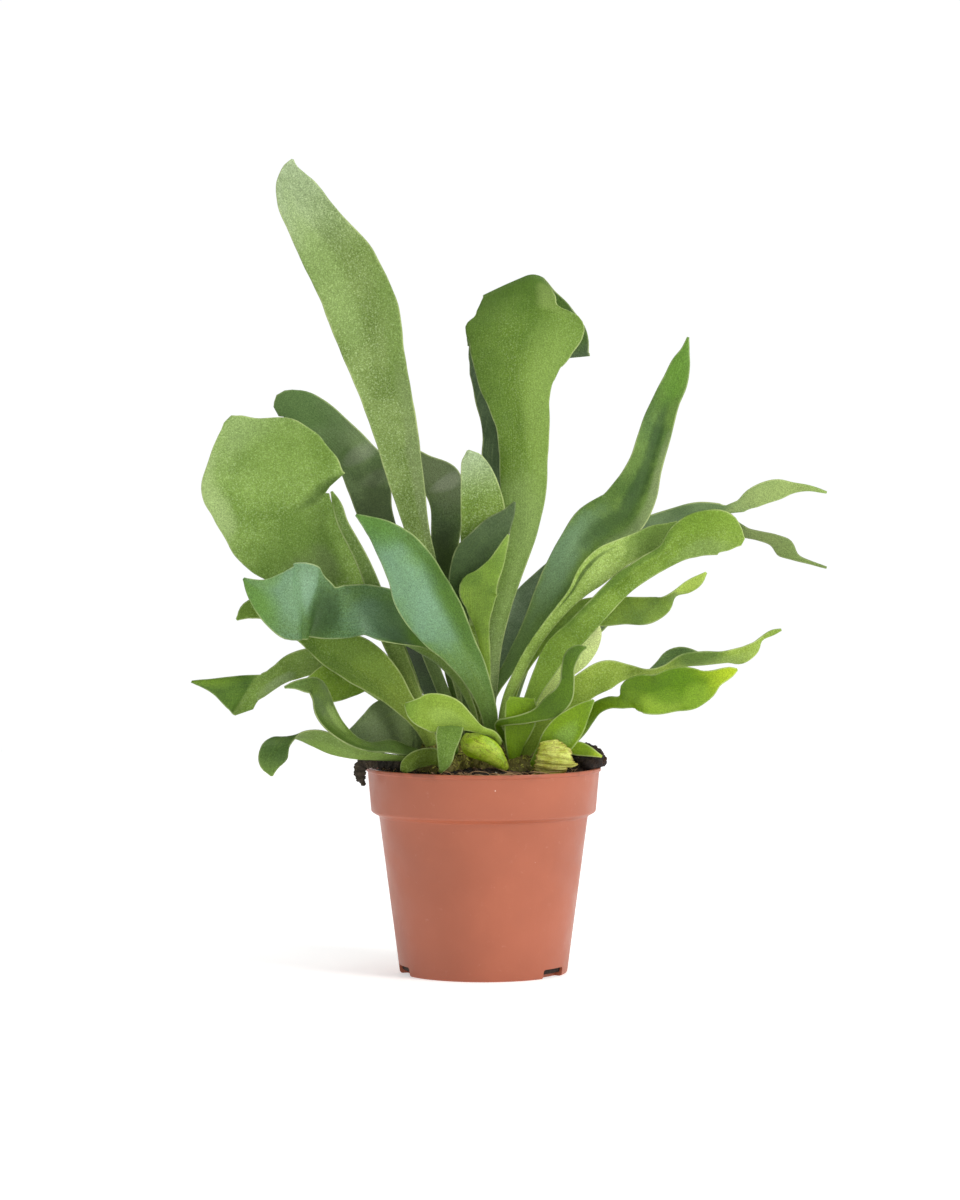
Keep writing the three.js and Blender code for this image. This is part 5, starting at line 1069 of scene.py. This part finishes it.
LEAVES["frond_long_right"] = dict(
    look="green_under", upper=(92, 120, 52), under=(146, 170, 66), foot=(128, 156, 40),
    painted_shading_and_colour_marks=((-0.7, 0.7, 0.7, 0.09, (92, 120, 54), 0.85), (0.3, 0.8, 0.8, 0.12, (136, 160, 82), 0.5)),
    path=(
        (17, 105, -16, 2.6, 2.6, 0, 0, 20), (25.5, 118, -18, 4.6, 3.6, 0, 0, 20),
        (34.5, 129, -19, 6.8, 5, 0, 0, 20), (43.4, 138.6, -20, 7, 7, 0, 0, 15),
        (53, 147, -21, 7.4, 7, 0, 0, 10), (64, 152.6, -21, 7.2, 7.2, 0, 0, 10),
        (74, 153.5, -20, 4.4, 4.4, -10, -10, 35), (83, 153, -19, 4, 6, -20, -50, 68),
        (92, 153.8, -18, 5, 13, -50, -90, 76), (102, 156.8, -17, 8, 17, -70, -105, 76),
        (113, 158, -17, 8.6, 12, -70, -80, 72), (124, 159.8, -18, 6, 6, -45, -45, 55),
        (133.6, 162.8, -18, 4.2, 4, 0, 0, 15), (138.4, 166.2, -18, 3.4, 3.4, 0, 0, 30),
        (141.6, 170.4, -18, 1.6, 1.6, 0, 0, 50), (147, 173.6, -19, 1.6, 1.6, 0, 0, 30),
        (152.2, 175.4, -19, 0.6, 0.6),
    ),
)
LEAVES["frond_bright_right"] = dict(
    look="bright", upper=(118, 154, 4), foot=(92, 121, 8), tip=(186, 206, 40),
    painted_shading_and_colour_marks=(
        (0.5, 0.68, 0.6, 0.09, (150, 182, 60), 0.6), (-0.2, 0.75, 0.8, 0.12, (88, 128, 6), 0.7),
        (0.5, 0.82, 0.7, 0.05, (140, 176, 48), 0.5), (-0.7, 0.62, 0.5, 0.12, (82, 118, 10), 0.6),
    ),
    path=(
        (22, 106, -11, 2.5, 2.5), (33, 113, -12, 2.6, 2.6), (43, 118, -13, 3, 3), (49.6, 124.2, -14, 3, 3),
        (53.6, 130, -16, 3, 3), (57.6, 135, -20, 3, 3), (64.4, 138.2, -25, 2.8, 3), (71, 139, -30, 3, 4),
        (75.4, 141.4, -33, 8, 7.4, 5, 5), (80, 142.4, -35, 9.3, 9.3, 5, 5), (88, 142.2, -37, 9.8, 10, 8, 8),
        (98, 144.8, -39, 10.6, 10.8, 8, 8), (106.6, 145.8, -40, 10.2, 10.6, 5, 5),
        (113.4, 147.6, -41, 7.4, 7.6), (118.6, 150.4, -41, 4.4, 4.4), (124.4, 153, -41, 3, 3),
        (128, 154.4, -41, 1.8, 1.8), (129.8, 155, -41, 0.6, 0.6),
    ),
)
LEAVES["frond_short_right"] = dict(
    look="green", upper=(114, 148, 10), foot=(115, 147, 17), bloom_and_painted_sheen=(136, 166, 84), bloom_and_painted_sheen_amount=0.2,
    painted_shading_and_colour_marks=((0.1, 0.5, 0.6, 0.2, (134, 166, 84), 0.4),),
    path=(
        (26, 105, -26.6, 3, 3), (31, 110, -29, 5.6, 4.8), (35.6, 114.5, -31, 8.4, 6.4),
        (40.6, 120.6, -32, 9.4, 7.2, 0, 10), (45.6, 127, -32, 8, 6.6, 0, 15),
        (50, 132.6, -32, 5.2, 4.4, 0, 10), (53.5, 136.4, -32, 2.8, 2.4), (56.4, 139.4, -32, 0.6, 0.6),
    ),
)
LEAVES["frond_rim_right"] = dict(
    look="bright", upper=(108, 138, 2), foot=(122, 151, 19),
    path=(
        (27, 103, -14, 2, 2), (32, 108.4, -18, 2, 2), (38, 113, -20.6, 2, 2), (44, 114.8, -22, 3, 3),
        (49, 114.4, -22, 3.4, 3.4), (54, 113, -22, 2.4, 2.4), (58, 111.4, -22, 1.2, 1.2),
        (60.6, 110.4, -22, 0.6, 0.6),
    ),
)
LEAVES["leaf_dead"] = dict(
    look="dead", ragged=0.7,
    path=(
        (-40, 105, -17, 3, 3, 0, 0, 60), (-46, 107.4, -20, 4, 4, 0, 0, 40),
        (-54, 108, -20, 3.6, 3.6, 0, 0, 30), (-60, 107.8, -20.5, 3.4, 3.4, 0, 0, 10),
        (-63, 104.6, -21, 3, 3), (-63, 100, -21.5, 2.6, 2.4), (-61, 95.4, -21.5, 0.7, 0.7),
    ),
)
# frond_back_left's near-black colours are painted shade: in front only a deeply shaded part of it shows
LEAVES["frond_back_left"] = dict(
    look="green", across=(0.9, 0.4, 0), upper=(26, 42, 0), foot=(34, 50, 2),
    path=(
        (-10, 110, 24, 3, 3), (-17, 124, 34, 3, 3), (-26, 142, 52, 5, 5, 5, 5),
        (-35, 160, 74, 9, 9, 10, 10), (-44, 172, 96, 12, 12, 10, 10), (-50, 177, 116, 9, 9, 10, 10),
        (-54, 177, 132, 4, 4), (-56, 175, 140, 0.6, 0.6),
    ),
)
LEAVES["frond_back_middle"] = dict(
    look="teal", across=(1, 0, 0),
    path=(
        (0, 113, 20, 3, 3), (-2, 122.4, 26, 3, 3), (-4, 132, 33, 3, 3), (-10, 156, 48, 5, 5, 5, 5),
        (-16, 184, 68, 9, 9, 10, 10), (-20, 204, 90, 12, 12, 10, 10), (-21, 214, 112, 9, 9, 10, 10),
        (-22, 216, 128, 4, 4), (-22, 215, 138, 0.6, 0.6),
    ),
)
LEAVES["frond_back_right"] = dict(
    look="green", across=(0.9, -0.4, 0),
    path=(
        (13, 108, 12, 3, 3), (18.5, 118, 24, 3, 3), (23, 126, 34, 3, 3), (32, 146, 54, 5, 5, 5, 5),
        (45, 166, 78, 9, 9, 10, 10), (56, 178, 100, 10, 10, 10, 10), (64, 184, 120, 7, 7, 5, 5),
        (69, 186, 136, 3, 3), (71, 186, 144, 0.6, 0.6),
    ),
)
LEAVES["frond_back_low"] = dict(
    look="green_under", front="upper", across=(0.94, -0.3, 0),
    path=(
        (22, 108, 6, 3, 3), (28, 114, 20, 3, 3), (33, 120, 34, 3, 3), (38, 128, 50, 6, 6, 5, 5),
        (43, 135, 68, 9, 9, 10, 10), (48, 142, 86, 7, 7, 5, 5), (51, 146, 98, 3, 3),
        (53, 148, 106, 0.6, 0.6),
    ),
)
LEAVES["shield_back"] = dict(
    look="dry", across=(1, 0, 0), ragged=0.8,
    path=(
        (0, 103, 37, 12, 12, -30, -30), (0, 107, 38, 13.6, 13.6, -30, -30),
        (0, 111.6, 38.6, 14, 14, -30, -30), (0, 115, 37, 12, 12, -30, -30), (0, 117.6, 34, 6, 6, -20, -20),
    ),
)

# Looks of the leaves, unless a leaf sets a value of its own
LOOKS = {}
LOOKS["pale"] = dict(
    upper=(96, 122, 64), under=(126, 152, 78), foot=(146, 166, 96), tip=(170, 188, 136),
    bloom_and_painted_sheen=(130, 155, 115), bloom_and_painted_sheen_amount=0.3, tip_start=0.8, tip_amount=0.7, fuzz=0.6, gloss=0.0,
)
LOOKS["hood"] = dict(
    upper=(72, 90, 60), under=(112, 141, 56), foot=(168, 186, 124), tip=(84, 102, 66), bloom_and_painted_sheen=(100, 116, 92),
    bloom_and_painted_sheen_amount=0.5, tip_start=0.9, tip_amount=0.3, fuzz=0.4, gloss=0.0,
)
LOOKS["green_under"] = dict(
    upper=(88, 116, 48), under=(104, 132, 52), foot=(136, 154, 66), tip=(112, 142, 54),
    bloom_and_painted_sheen=(116, 144, 100), bloom_and_painted_sheen_amount=0.35, tip_start=0.85, tip_amount=0.4, fuzz=0.4, gloss=0.1,
)
LOOKS["teal"] = dict(
    upper=(88, 120, 58), under=(116, 142, 76), foot=(116, 142, 62), tip=(98, 134, 66),
    bloom_and_painted_sheen=(122, 160, 126), bloom_and_painted_sheen_amount=0.5, tip_start=0.85, tip_amount=0.4, fuzz=0.4, gloss=0.1,
)
LOOKS["dark"] = dict(
    upper=(76, 97, 56), under=(108, 134, 70), foot=(98, 120, 52), tip=(92, 112, 70), bloom_and_painted_sheen=(112, 128, 98),
    bloom_and_painted_sheen_amount=0.5, tip_start=0.85, tip_amount=0.4, fuzz=0.4, gloss=0.08,
)
LOOKS["green"] = dict(
    upper=(94, 122, 46), under=(116, 144, 70), foot=(122, 146, 50), tip=(102, 136, 50),
    bloom_and_painted_sheen=(118, 146, 96), bloom_and_painted_sheen_amount=0.35, tip_start=0.85, tip_amount=0.4, fuzz=0.4, gloss=0.1,
)
LOOKS["bright"] = dict(
    upper=(108, 142, 26), under=(128, 158, 60), foot=(120, 148, 36), tip=(180, 202, 50),
    bloom_and_painted_sheen=(134, 166, 66), bloom_and_painted_sheen_amount=0.25, tip_start=0.8, tip_amount=0.7, fuzz=0.3, gloss=0.12,
)
LOOKS["young"] = dict(
    upper=(122, 150, 58), under=(130, 158, 64), foot=(150, 172, 72), tip=(152, 176, 104),
    bloom_and_painted_sheen=(146, 170, 110), bloom_and_painted_sheen_amount=0.35, tip_start=0.8, tip_amount=0.6, fuzz=0.5, gloss=0.0,
)
LOOKS["very_pale"] = dict(
    upper=(176, 192, 108), under=(198, 208, 132), foot=(186, 198, 110), tip=(206, 214, 150),
    bloom_and_painted_sheen=(200, 212, 156), bloom_and_painted_sheen_amount=0.4, tip_start=0.75, tip_amount=0.7, fuzz=0.5, gloss=0.0,
)
SHIELD_LOOKS = {
    "shield": dict(
        base=(152, 188, 20), vein=(104, 92, 24), light=(196, 218, 72), vein_amount=0.7, dryness=0.15,
    ),
    "dry": dict(
        base=(178, 188, 64), vein=(130, 92, 38), light=(212, 222, 112), vein_amount=0.6, dryness=1.0,
    ),
}


def make_look(name, leaf):
    look = leaf["look"]
    if look in SHIELD_LOOKS:
        return shield_material(name, **SHIELD_LOOKS[look])
    if look == "dead":
        return dead_material()
    values = {key: leaf.get(key, value) for key, value in LOOKS[look].items()}
    for key in ("upper", "under", "foot", "tip", "bloom_and_painted_sheen"):
        values[key] = srgb(*values[key])
    return leaf_material(name, painted_shading_and_colour_marks=leaf.get("painted_shading_and_colour_marks", ()), **values)


# Pot
def rounded(profile, radii):
    """Profile with an arc of the given radius at each inner corner."""
    result = [profile[0]]
    for i in range(1, len(profile) - 1):
        corner = np.array(profile[i], dtype=float)
        before = profile[i - 1] - corner
        after = profile[i + 1] - corner
        reach = min(radii[i], 0.45 * np.linalg.norm(before), 0.45 * np.linalg.norm(after))
        a = corner + unit(before) * reach
        b = corner + unit(after) * reach
        for u in np.linspace(0, 1, ARC_STEPS + 1):
            result.append((1 - u) ** 2 * a + 2 * u * (1 - u) * corner + u**2 * b)
    result.append(profile[-1])
    return result


def level_ring(radius, z, segments):
    """Ring of places at one height. A radius of 0 gives a single place on the axis."""
    x, y = circle(radius, segments if radius else 1)
    return np.stack([x, y, np.full(len(x), z)], axis=1)


def closed_body(name, rings, material, attributes):
    """Body over rings of places that start and end with a single place on the axis."""
    points = np.concatenate(rings)
    numbers = np.arange(1, len(points) - 1).reshape(len(rings) - 2, -1).tolist()
    faces = [(0, numbers[0][i - 1], numbers[0][i]) for i in range(len(numbers[0]))]
    faces += skin(numbers)
    faces += [(len(points) - 1, numbers[-1][i], numbers[-1][i - 1]) for i in range(len(numbers[0]))]
    return mesh_object(name, points, faces, material, attributes)


def make_notch_cutter(degrees):
    bm = bmesh.new()
    bmesh.ops.create_cube(bm, size=1.0)
    size = Vector((NOTCH_DEPTH * 2, NOTCH_HALF_WIDTH * 2, NOTCH_HEIGHT + NOTCH_BELOW)) * MM
    centre = Vector((BASE_RADIUS, 0, (NOTCH_HEIGHT - NOTCH_BELOW) / 2)) * MM
    bmesh.ops.scale(bm, vec=size, verts=bm.verts)
    bmesh.ops.translate(bm, vec=centre, verts=bm.verts)
    corners = []
    for edge in bm.edges:
        start, end = (vert.co for vert in edge.verts)
        if min(start.z, end.z) > 0 and abs(start.x - end.x) > NOTCH_DEPTH * MM:
            corners.append(edge)
    corner = NOTCH_CORNER * MM
    bmesh.ops.bevel(bm, geom=corners, offset=corner, segments=ARC_STEPS, affect="EDGES", profile=0.5)
    turn = Matrix.Rotation(math.radians(degrees), 3, "Z")
    bmesh.ops.rotate(bm, cent=(0, 0, 0), matrix=turn, verts=bm.verts)
    return place_in_scene("notch", mesh_from_bmesh(bm, "notch"))


def make_pot(material):
    lip_z = POT_HEIGHT - LIP_HEIGHT
    collar_top = RIM_RADIUS - LIP_PROUD
    profile = [
        (0, 0),
        (BASE_RADIUS, 0),
        (BODY_TOP_RADIUS, BODY_TOP_Z),
        (COLLAR_BOTTOM_RADIUS, COLLAR_BOTTOM_Z),
        (collar_top, lip_z),
        (RIM_RADIUS, lip_z + LIP_PROUD / 2),
        (RIM_RADIUS, POT_HEIGHT),
        (collar_top - WALL, POT_HEIGHT),
        (COLLAR_BOTTOM_RADIUS - WALL, COLLAR_BOTTOM_Z + WALL / 2),
        (BODY_TOP_RADIUS - WALL, BODY_TOP_Z + WALL / 2),
        (BASE_RADIUS - WALL, FLOOR),
        (0, FLOOR),
    ]
    corner_radii = [0, 1.4, 0.7, 1.0, 0.25, 0.3, 0.5, 0.5, 1.0, 1.0, 1.0, 0]
    outline = rounded(profile, corner_radii)[::-1]
    pot = closed_body("pot_shell", [level_ring(r, z, POT_SEGMENTS) for r, z in outline], material, {})
    for degrees in NOTCH_ANGLES:
        cutter = make_notch_cutter(degrees)
        apply_modifier(pot, "BOOLEAN", operation="DIFFERENCE", object=cutter, solver="EXACT")
        bpy.data.objects.remove(cutter)
    pot.data.set_sharp_from_angle(angle=math.radians(SHARP_ANGLE))
    return pot


# Soil
def soil_height(x, y):
    rise = SOIL_CROWN_RISE * np.cos(np.minimum(1, np.hypot(x, y) / RIM_RADIUS) * 1.5)
    (cx, cy), (sx, sy) = SOIL_RIGHT_CENTRE, SOIL_RIGHT_SIZE
    right = np.exp(-(((x - cx) / sx) ** 2) - ((y - cy) / sy) ** 2)
    rough = SOIL_ROUGHNESS * (np.sin(x * 0.42 + y * 0.31) + np.sin(x * 0.23 - y * 0.53))
    return SOIL_EDGE_Z + rise + SOIL_RIGHT_RISE * right + rough * 0.5


def heap_height(x, y):
    """Top of the heap, or far down where there is no heap."""
    (cx, cy, cz), (rx, ry, rz) = HEAP_CENTRE, HEAP_RADII
    inside = 1 - ((x - cx) / rx) ** 2 - ((y - cy) / ry) ** 2
    return np.where(inside > 0, cz + rz * np.sqrt(np.maximum(inside, 0)), -1e3)


def soil_top(x, y):
    total = np.maximum(soil_height(x, y), heap_height(x, y))
    for k, (fx, fy, amount) in enumerate(SOIL_WAVES):
        total += amount * np.sin(x * fx + y * fy + k * 1.9) * np.cos(y * fx * 0.8 - x * fy * 0.7 + k)
    return total


def wall_radius(z):
    """Radius of the pot's inner wall at a height in its collar."""
    slope = (RIM_RADIUS - LIP_PROUD - COLLAR_BOTTOM_RADIUS) / (POT_HEIGHT - COLLAR_BOTTOM_Z)
    return COLLAR_BOTTOM_RADIUS - WALL - 0.1 + (np.minimum(z, POT_HEIGHT) - COLLAR_BOTTOM_Z) * slope


def held_by_wall(x, y, z, overflow):
    """Places drawn in to the pot's wall, unless they lie higher above the rim than overflow."""
    limit = np.where(z > POT_HEIGHT + overflow, np.inf, wall_radius(z))
    inwards = np.minimum(1.0, limit / np.maximum(np.hypot(x, y), 1e-9))
    return np.stack([x * inwards, y * inwards, z], axis=1)


def make_soil(material):
    rings = []
    for radius in (0.0, *np.linspace(*SOIL_TOP_SPAN), SOIL_RIM_RADIUS):
        x, y = circle(radius, SOIL_SEGMENTS if radius else 1)
        rings.append(held_by_wall(x, y, soil_top(x, y), 0.3))
    for radius, z in SOIL_LOWER_RINGS:
        rings.append(level_ring(radius, z, SOIL_SEGMENTS))
    return closed_body("soil_bed", rings, material, {"tint": np.zeros(sum(map(len, rings)))})


def make_heap(material):
    """The part of the soil that is heaped above the rim on the right."""
    (cx, cy, cz), (rx, ry, rz) = HEAP_CENTRE, HEAP_RADII
    cos, sin = circle(1.0, HEAP_SEGMENTS)
    angle = 2 * math.pi * np.arange(HEAP_SEGMENTS) / HEAP_SEGMENTS
    points = []
    # Each level is swollen by 3, 7 and 13 soft bulges
    for polar in np.linspace(0, math.pi, HEAP_RINGS + 1):
        swell = 1 + 0.07 * np.sin(3 * angle + polar * 4) * math.sin(polar)
        swell += 0.05 * np.sin(7 * angle - polar * 9) + 0.035 * np.sin(13 * angle + polar * 17)
        level = swell * math.sin(polar)
        z = cz + rz * swell * math.cos(polar)
        points.extend(held_by_wall(cx + rx * level * cos, cy + ry * level * sin, z, 0.4))
    numbers = np.arange(len(points)).reshape(-1, HEAP_SEGMENTS).tolist()
    return mesh_object("soil_heap", points, skin(numbers), material, {"tint": np.zeros(len(points))})


def scatter_lumps(name, places, sizes, tints, material):
    """Lumps of uneven form, each tilted and then turned about the upright."""
    bm = bmesh.new()
    bmesh.ops.create_icosphere(bm, subdivisions=1, radius=1.0)
    ball = np.array([vert.co[:] for vert in bm.verts])
    ball_faces = np.array([[vert.index for vert in face.verts] for face in bm.faces])
    bm.free()
    points, faces = [], []
    for place, size in zip(places, sizes):
        stretch = rng.uniform(0.6, 1.25, 3) * (1.0, 1.0, LUMP_FLATNESS)
        bumpy = ball * (1 + rng.uniform(-0.28, 0.28, (len(ball), 1)))
        spin = Matrix.Rotation(rng.uniform(0, 2 * math.pi), 3, "Z")
        tilt = Matrix.Rotation(rng.uniform(-0.7, 0.7), 3, "X")
        faces += (ball_faces + len(points)).tolist()
        points.extend(bumpy * stretch * size @ np.array(spin @ tilt).T + place)
    return mesh_object(name, points, faces, material, {"tint": np.repeat(tints, len(ball))}, smooth=False)


def random_spots(count, limit):
    radius = np.sqrt(rng.uniform(0, 1, count)) * limit
    angle = rng.uniform(0, 2 * math.pi, count)
    return radius * np.cos(angle), radius * np.sin(angle)


def make_crumbs(material):
    count = CRUMB_COUNT
    x, y = random_spots(count, CRUMB_SPREAD)
    on_heap = rng.uniform(0, 1, count) < HEAP_CRUMB_SHARE
    x = np.where(on_heap, HEAP_CENTRE[0] + rng.uniform(-0.95, 0.95, count) * HEAP_RADII[0], x)
    y = np.where(on_heap, HEAP_CENTRE[1] + rng.uniform(-0.95, 0.95, count) * HEAP_RADII[1], y)
    z = soil_top(x, y)
    sizes = CRUMB_SMALLEST + CRUMB_RANGE * rng.uniform(0, 1, count) ** 3.2
    keep = (np.hypot(x, y) < SOIL_REACH) | (z > POT_HEIGHT + 0.5)
    places = np.stack([x, y, z + sizes * 0.15], axis=1)
    is_brown = rng.uniform(0, 1, count) < BROWN_CRUMB_SHARE
    tints = np.where(is_brown, rng.uniform(0.3, 1.0, count), rng.uniform(0, 0.2, count))
    return scatter_lumps("soil_crumbs", places[keep], sizes[keep], tints[keep], material)


def make_perlite(material):
    x, y = random_spots(PERLITE_COUNT, PERLITE_SPREAD)
    sizes = rng.uniform(0.35, 0.95, PERLITE_COUNT)
    places = np.stack([x, y, soil_top(x, y) + sizes * 0.3], axis=1)
    return scatter_lumps("soil_perlite", places, sizes, np.ones(PERLITE_COUNT), material)


def make_fibres(material):
    points, faces, tint = [], [], []

    def add_tube(path, radius, shade):
        """Adds a thin tube along a path, thinner at both ends."""
        numbers = np.arange(len(path) * TUBE_SIDES).reshape(len(path), -1) + len(points)
        numbers = numbers.tolist()
        last = len(path) - 1
        for k, place in enumerate(path):
            forward = unit(path[min(k + 1, last)] - path[max(k - 1, 0)])
            helper = (0.0, 0.0, 1.0) if abs(forward[2]) < 0.9 else (1.0, 0.0, 0.0)
            a = unit(np.cross(forward, helper))
            b = np.cross(forward, a)
            cos, sin = circle(radius * (1 - 0.7 * abs(2 * k / last - 1) ** 3), TUBE_SIDES)
            points.extend(place + a * cos[:, None] + b * sin[:, None])
        tint.extend([shade] * TUBE_SIDES * len(path))
        faces.extend([numbers[0][::-1], *skin(numbers[::-1]), numbers[-1]])

    for k, start in enumerate(zip(*random_spots(FIBRE_COUNT, FIBRE_SPREAD))):
        angle = rng.uniform(0, 2 * math.pi)
        turn = rng.uniform(-0.25, 0.25)
        length = rng.uniform(4, 13)
        angles = angle + turn * np.arange(1, FIBRE_STEPS)
        steps = np.stack([np.cos(angles), np.sin(angles)], axis=1) * length / FIBRE_STEPS
        x, y = np.cumsum([start, *steps], axis=0).T
        if np.hypot(x, y).max() > SOIL_REACH:
            continue
        z = soil_top(x, y) + 0.35 + 0.5 * np.abs(np.sin(np.linspace(0, math.pi, FIBRE_STEPS) + k))
        add_tube(np.column_stack([x, y, z]), rng.uniform(0.16, 0.42), rng.uniform(0, 1))

    # Dry strands that lie along the front of the crown
    for k in range(STRAND_COUNT):
        middle = rng.uniform(*STRAND_SPAN)
        front = -math.sqrt(SOIL_REACH**2 - middle**2) + rng.uniform(1.0, 5.0)
        share = np.linspace(-0.5, 0.5, STRAND_STEPS)
        sideways = share * rng.uniform(8, 18)
        x = middle + sideways
        y = front + sideways**2 * 0.012 + rng.uniform(-1.5, 1.5) * np.sin(share * 5 + k)
        z = soil_top(x, y) + rng.uniform(0.8, 2.6) + 1.2 * np.cos(share * 4 + k)
        add_tube(np.column_stack([x, y, z]), rng.uniform(0.2, 0.42), rng.uniform(0.7, 1))
    return mesh_object("soil_root_bits", points, faces, material, {"tint": tint})


# Rhizome
def make_rhizome(material):
    bm = bmesh.new()
    for centre, radii in RHIZOME_LUMPS:
        for vert in bmesh.ops.create_icosphere(bm, subdivisions=4, radius=1.0)["verts"]:
            vert.co = Vector(centre[k] + vert.co[k] * radii[k] for k in range(3)) * MM
    piece = place_in_scene("rhizome_crown", mesh_from_bmesh(bm, "rhizome_crown"))
    apply_modifier(piece, "REMESH", mode="VOXEL", voxel_size=CROWN_GRID * MM)

    verts = piece.data.vertices
    places = np.empty((len(verts), 3))
    normals = np.empty((len(verts), 3))
    verts.foreach_get("co", places.ravel())
    verts.foreach_get("normal", normals.ravel())
    places /= MM
    x, y, z = places.T
    rough = 0.35 * np.sin(x * 0.9 + z * 1.3) * np.cos(y * 1.1)
    rough += 0.2 * np.sin(x * 2.3 + y * 1.7) + 0.15 * np.cos(z * 3.1 - y * 2.7)
    places += normals * (rough * 0.8 - 0.2)[:, None]
    verts.foreach_set("co", (places * MM).ravel())
    tint = piece.data.attributes.new("tint", "FLOAT", "POINT")
    tint.data.foreach_set("value", np.full(len(verts), CROWN_TINT, dtype=np.float32))
    piece.data.materials.append(material)
    piece.data.update()
    return piece, places, normals


def make_scales(places, normals, material):
    """Narrow brown scales that cover the crown above the soil."""
    above = np.flatnonzero((places[:, 2] > SCALE_LOWEST_Z) & (normals[:, 2] > -0.2))
    points, faces, tint = [], [], []
    for index in rng.choice(above, min(SCALE_COUNT, len(above)), replace=False):
        normal = unit(normals[index])
        down = unit(np.array([normal[0], normal[1], 0.35]) + rng.uniform(-0.8, 0.8, 3))
        along = unit(down - normal * float(down @ normal) + normal * rng.uniform(0.15, 0.5))
        across = unit(np.cross(along, normal + (0.0, 0.0, 1e-3)))
        length = rng.uniform(1.6, 4.6)
        wide = across * rng.uniform(0.25, 0.6)
        root = places[index] - normal * 0.2
        middle = root + along * length * 0.5 + normal * 0.15
        tip = root + along * length - normal * rng.uniform(0.0, 0.8)
        start = len(points)
        points += [root - wide, root + wide, middle + wide * 0.8, middle - wide * 0.8]
        points += [tip, middle - normal * 0.12]
        faces += [tuple(start + i for i in face) for face in SCALE_FACES]
        tint += [rng.uniform(0.1, 1.0)] * 6
    return mesh_object("rhizome_scales", points, faces, material, {"tint": tint}, smooth=False)


# Assembly
settle(make_pot(pot_material()), "pot", "pot")

soil_look = soil_material()
settle(make_soil(soil_look), "soil", "soil")
settle(make_heap(soil_look), "soil")
settle(make_crumbs(soil_look), "soil")
settle(make_perlite(perlite_material()), "soil")
settle(make_fibres(fibre_material("soil_fibre", srgb(62, 42, 28), srgb(168, 134, 92))), "soil")

scale_look = fibre_material("rhizome_scale", srgb(86, 74, 26), srgb(176, 176, 70))
crown, crown_places, crown_normals = make_rhizome(scale_look)
settle(crown, "rhizome", "rhizome")
settle(make_scales(crown_places, crown_normals, scale_look), "rhizome")

for number, (leaf_name, leaf) in enumerate(LEAVES.items()):
    blade = make_blade(leaf_name + "_blade", leaf, make_look(leaf_name, leaf), number + 1.0)
    settle(blade, leaf.get("slot", FACES_AND_SLOTS[leaf["look"]][1]), leaf_name)

# Floor
floor_rim = level_ring(FLOOR_RADIUS, 0.0, FLOOR_SIDES)
floor = mesh_object("floor", floor_rim, [tuple(range(FLOOR_SIDES))], floor_material(), {}, smooth=False)


# Lights
def place_and_aim(made, place, target):
    made.location = place
    made.rotation_euler = (Vector(target) - made.location).to_track_quat("-Z", "Y").to_euler()


def area_light(name, place, aim_z, size_x, size_y, power, colour):
    data = bpy.data.lights.new(name, "AREA")
    data.shape = "RECTANGLE"
    data.size = size_x
    data.size_y = size_y
    data.energy = power
    data.color = colour
    place_and_aim(place_in_scene(name, data), place, (0.0, 0.0, aim_z))


area_light("key_right", (1.5, -1.1, 1.1), 0.18, 0.7, 0.9, 25.0, WARM_WHITE)
area_light("top", (0.1, -0.1, 1.9), 0.2, 1.1, 1.1, 12.0, COOL_WHITE)
area_light("fill_left", (-1.6, -1.2, 0.7), 0.2, 1.2, 1.2, 2.0, COOL_WHITE)
area_light("back", (0.3, 1.7, 0.9), 0.25, 1.2, 1.0, 5.0, WHITE)

# The studio is white round the horizon and dimmer overhead
world = bpy.data.worlds.new("studio")
world.use_nodes = True
sky = world.node_tree.nodes
sky_link = world.node_tree.links.new
direction = sky.new("ShaderNodeTexCoord")
split = sky.new("ShaderNodeSeparateXYZ")
height = sky.new("ShaderNodeMath")
height.operation = "ABSOLUTE"
fade = sky.new("ShaderNodeMapRange")
fade.interpolation_type = "SMOOTHSTEP"
for socket, value in zip(("From Min", "From Max", "To Min", "To Max"), (*SKY_FADE, HORIZON_LIGHT, SKY_LIGHT)):
    fade.inputs[socket].default_value = value
sky_link(direction.outputs["Generated"], split.inputs[0])
sky_link(split.outputs[2], height.inputs[0])
sky_link(height.outputs[0], fade.inputs["Value"])
sky_link(fade.outputs[0], sky["Background"].inputs["Strength"])
sky["Background"].inputs["Color"].default_value = (0.98, 0.99, 1.0, 1.0)
bpy.context.scene.world = world

# Camera
camera_data = bpy.data.cameras.new("camera")
camera_data.sensor_fit = "VERTICAL"
camera_data.sensor_height = SENSOR_HEIGHT
camera_data.lens = LENS
camera_data.clip_start = NEAREST_SEEN
camera_data.clip_end = FARTHEST_SEEN
camera = place_in_scene("camera", camera_data)
place_and_aim(camera, Vector((VIEW_X, -VIEW_DISTANCE, VIEW_Z)) * MM, Vector((VIEW_X, 0.0, TARGET_Z)) * MM)
bpy.context.scene.camera = camera
bpy.context.scene.view_settings.view_transform = "Standard"
bpy.context.scene.view_settings.look = "None"
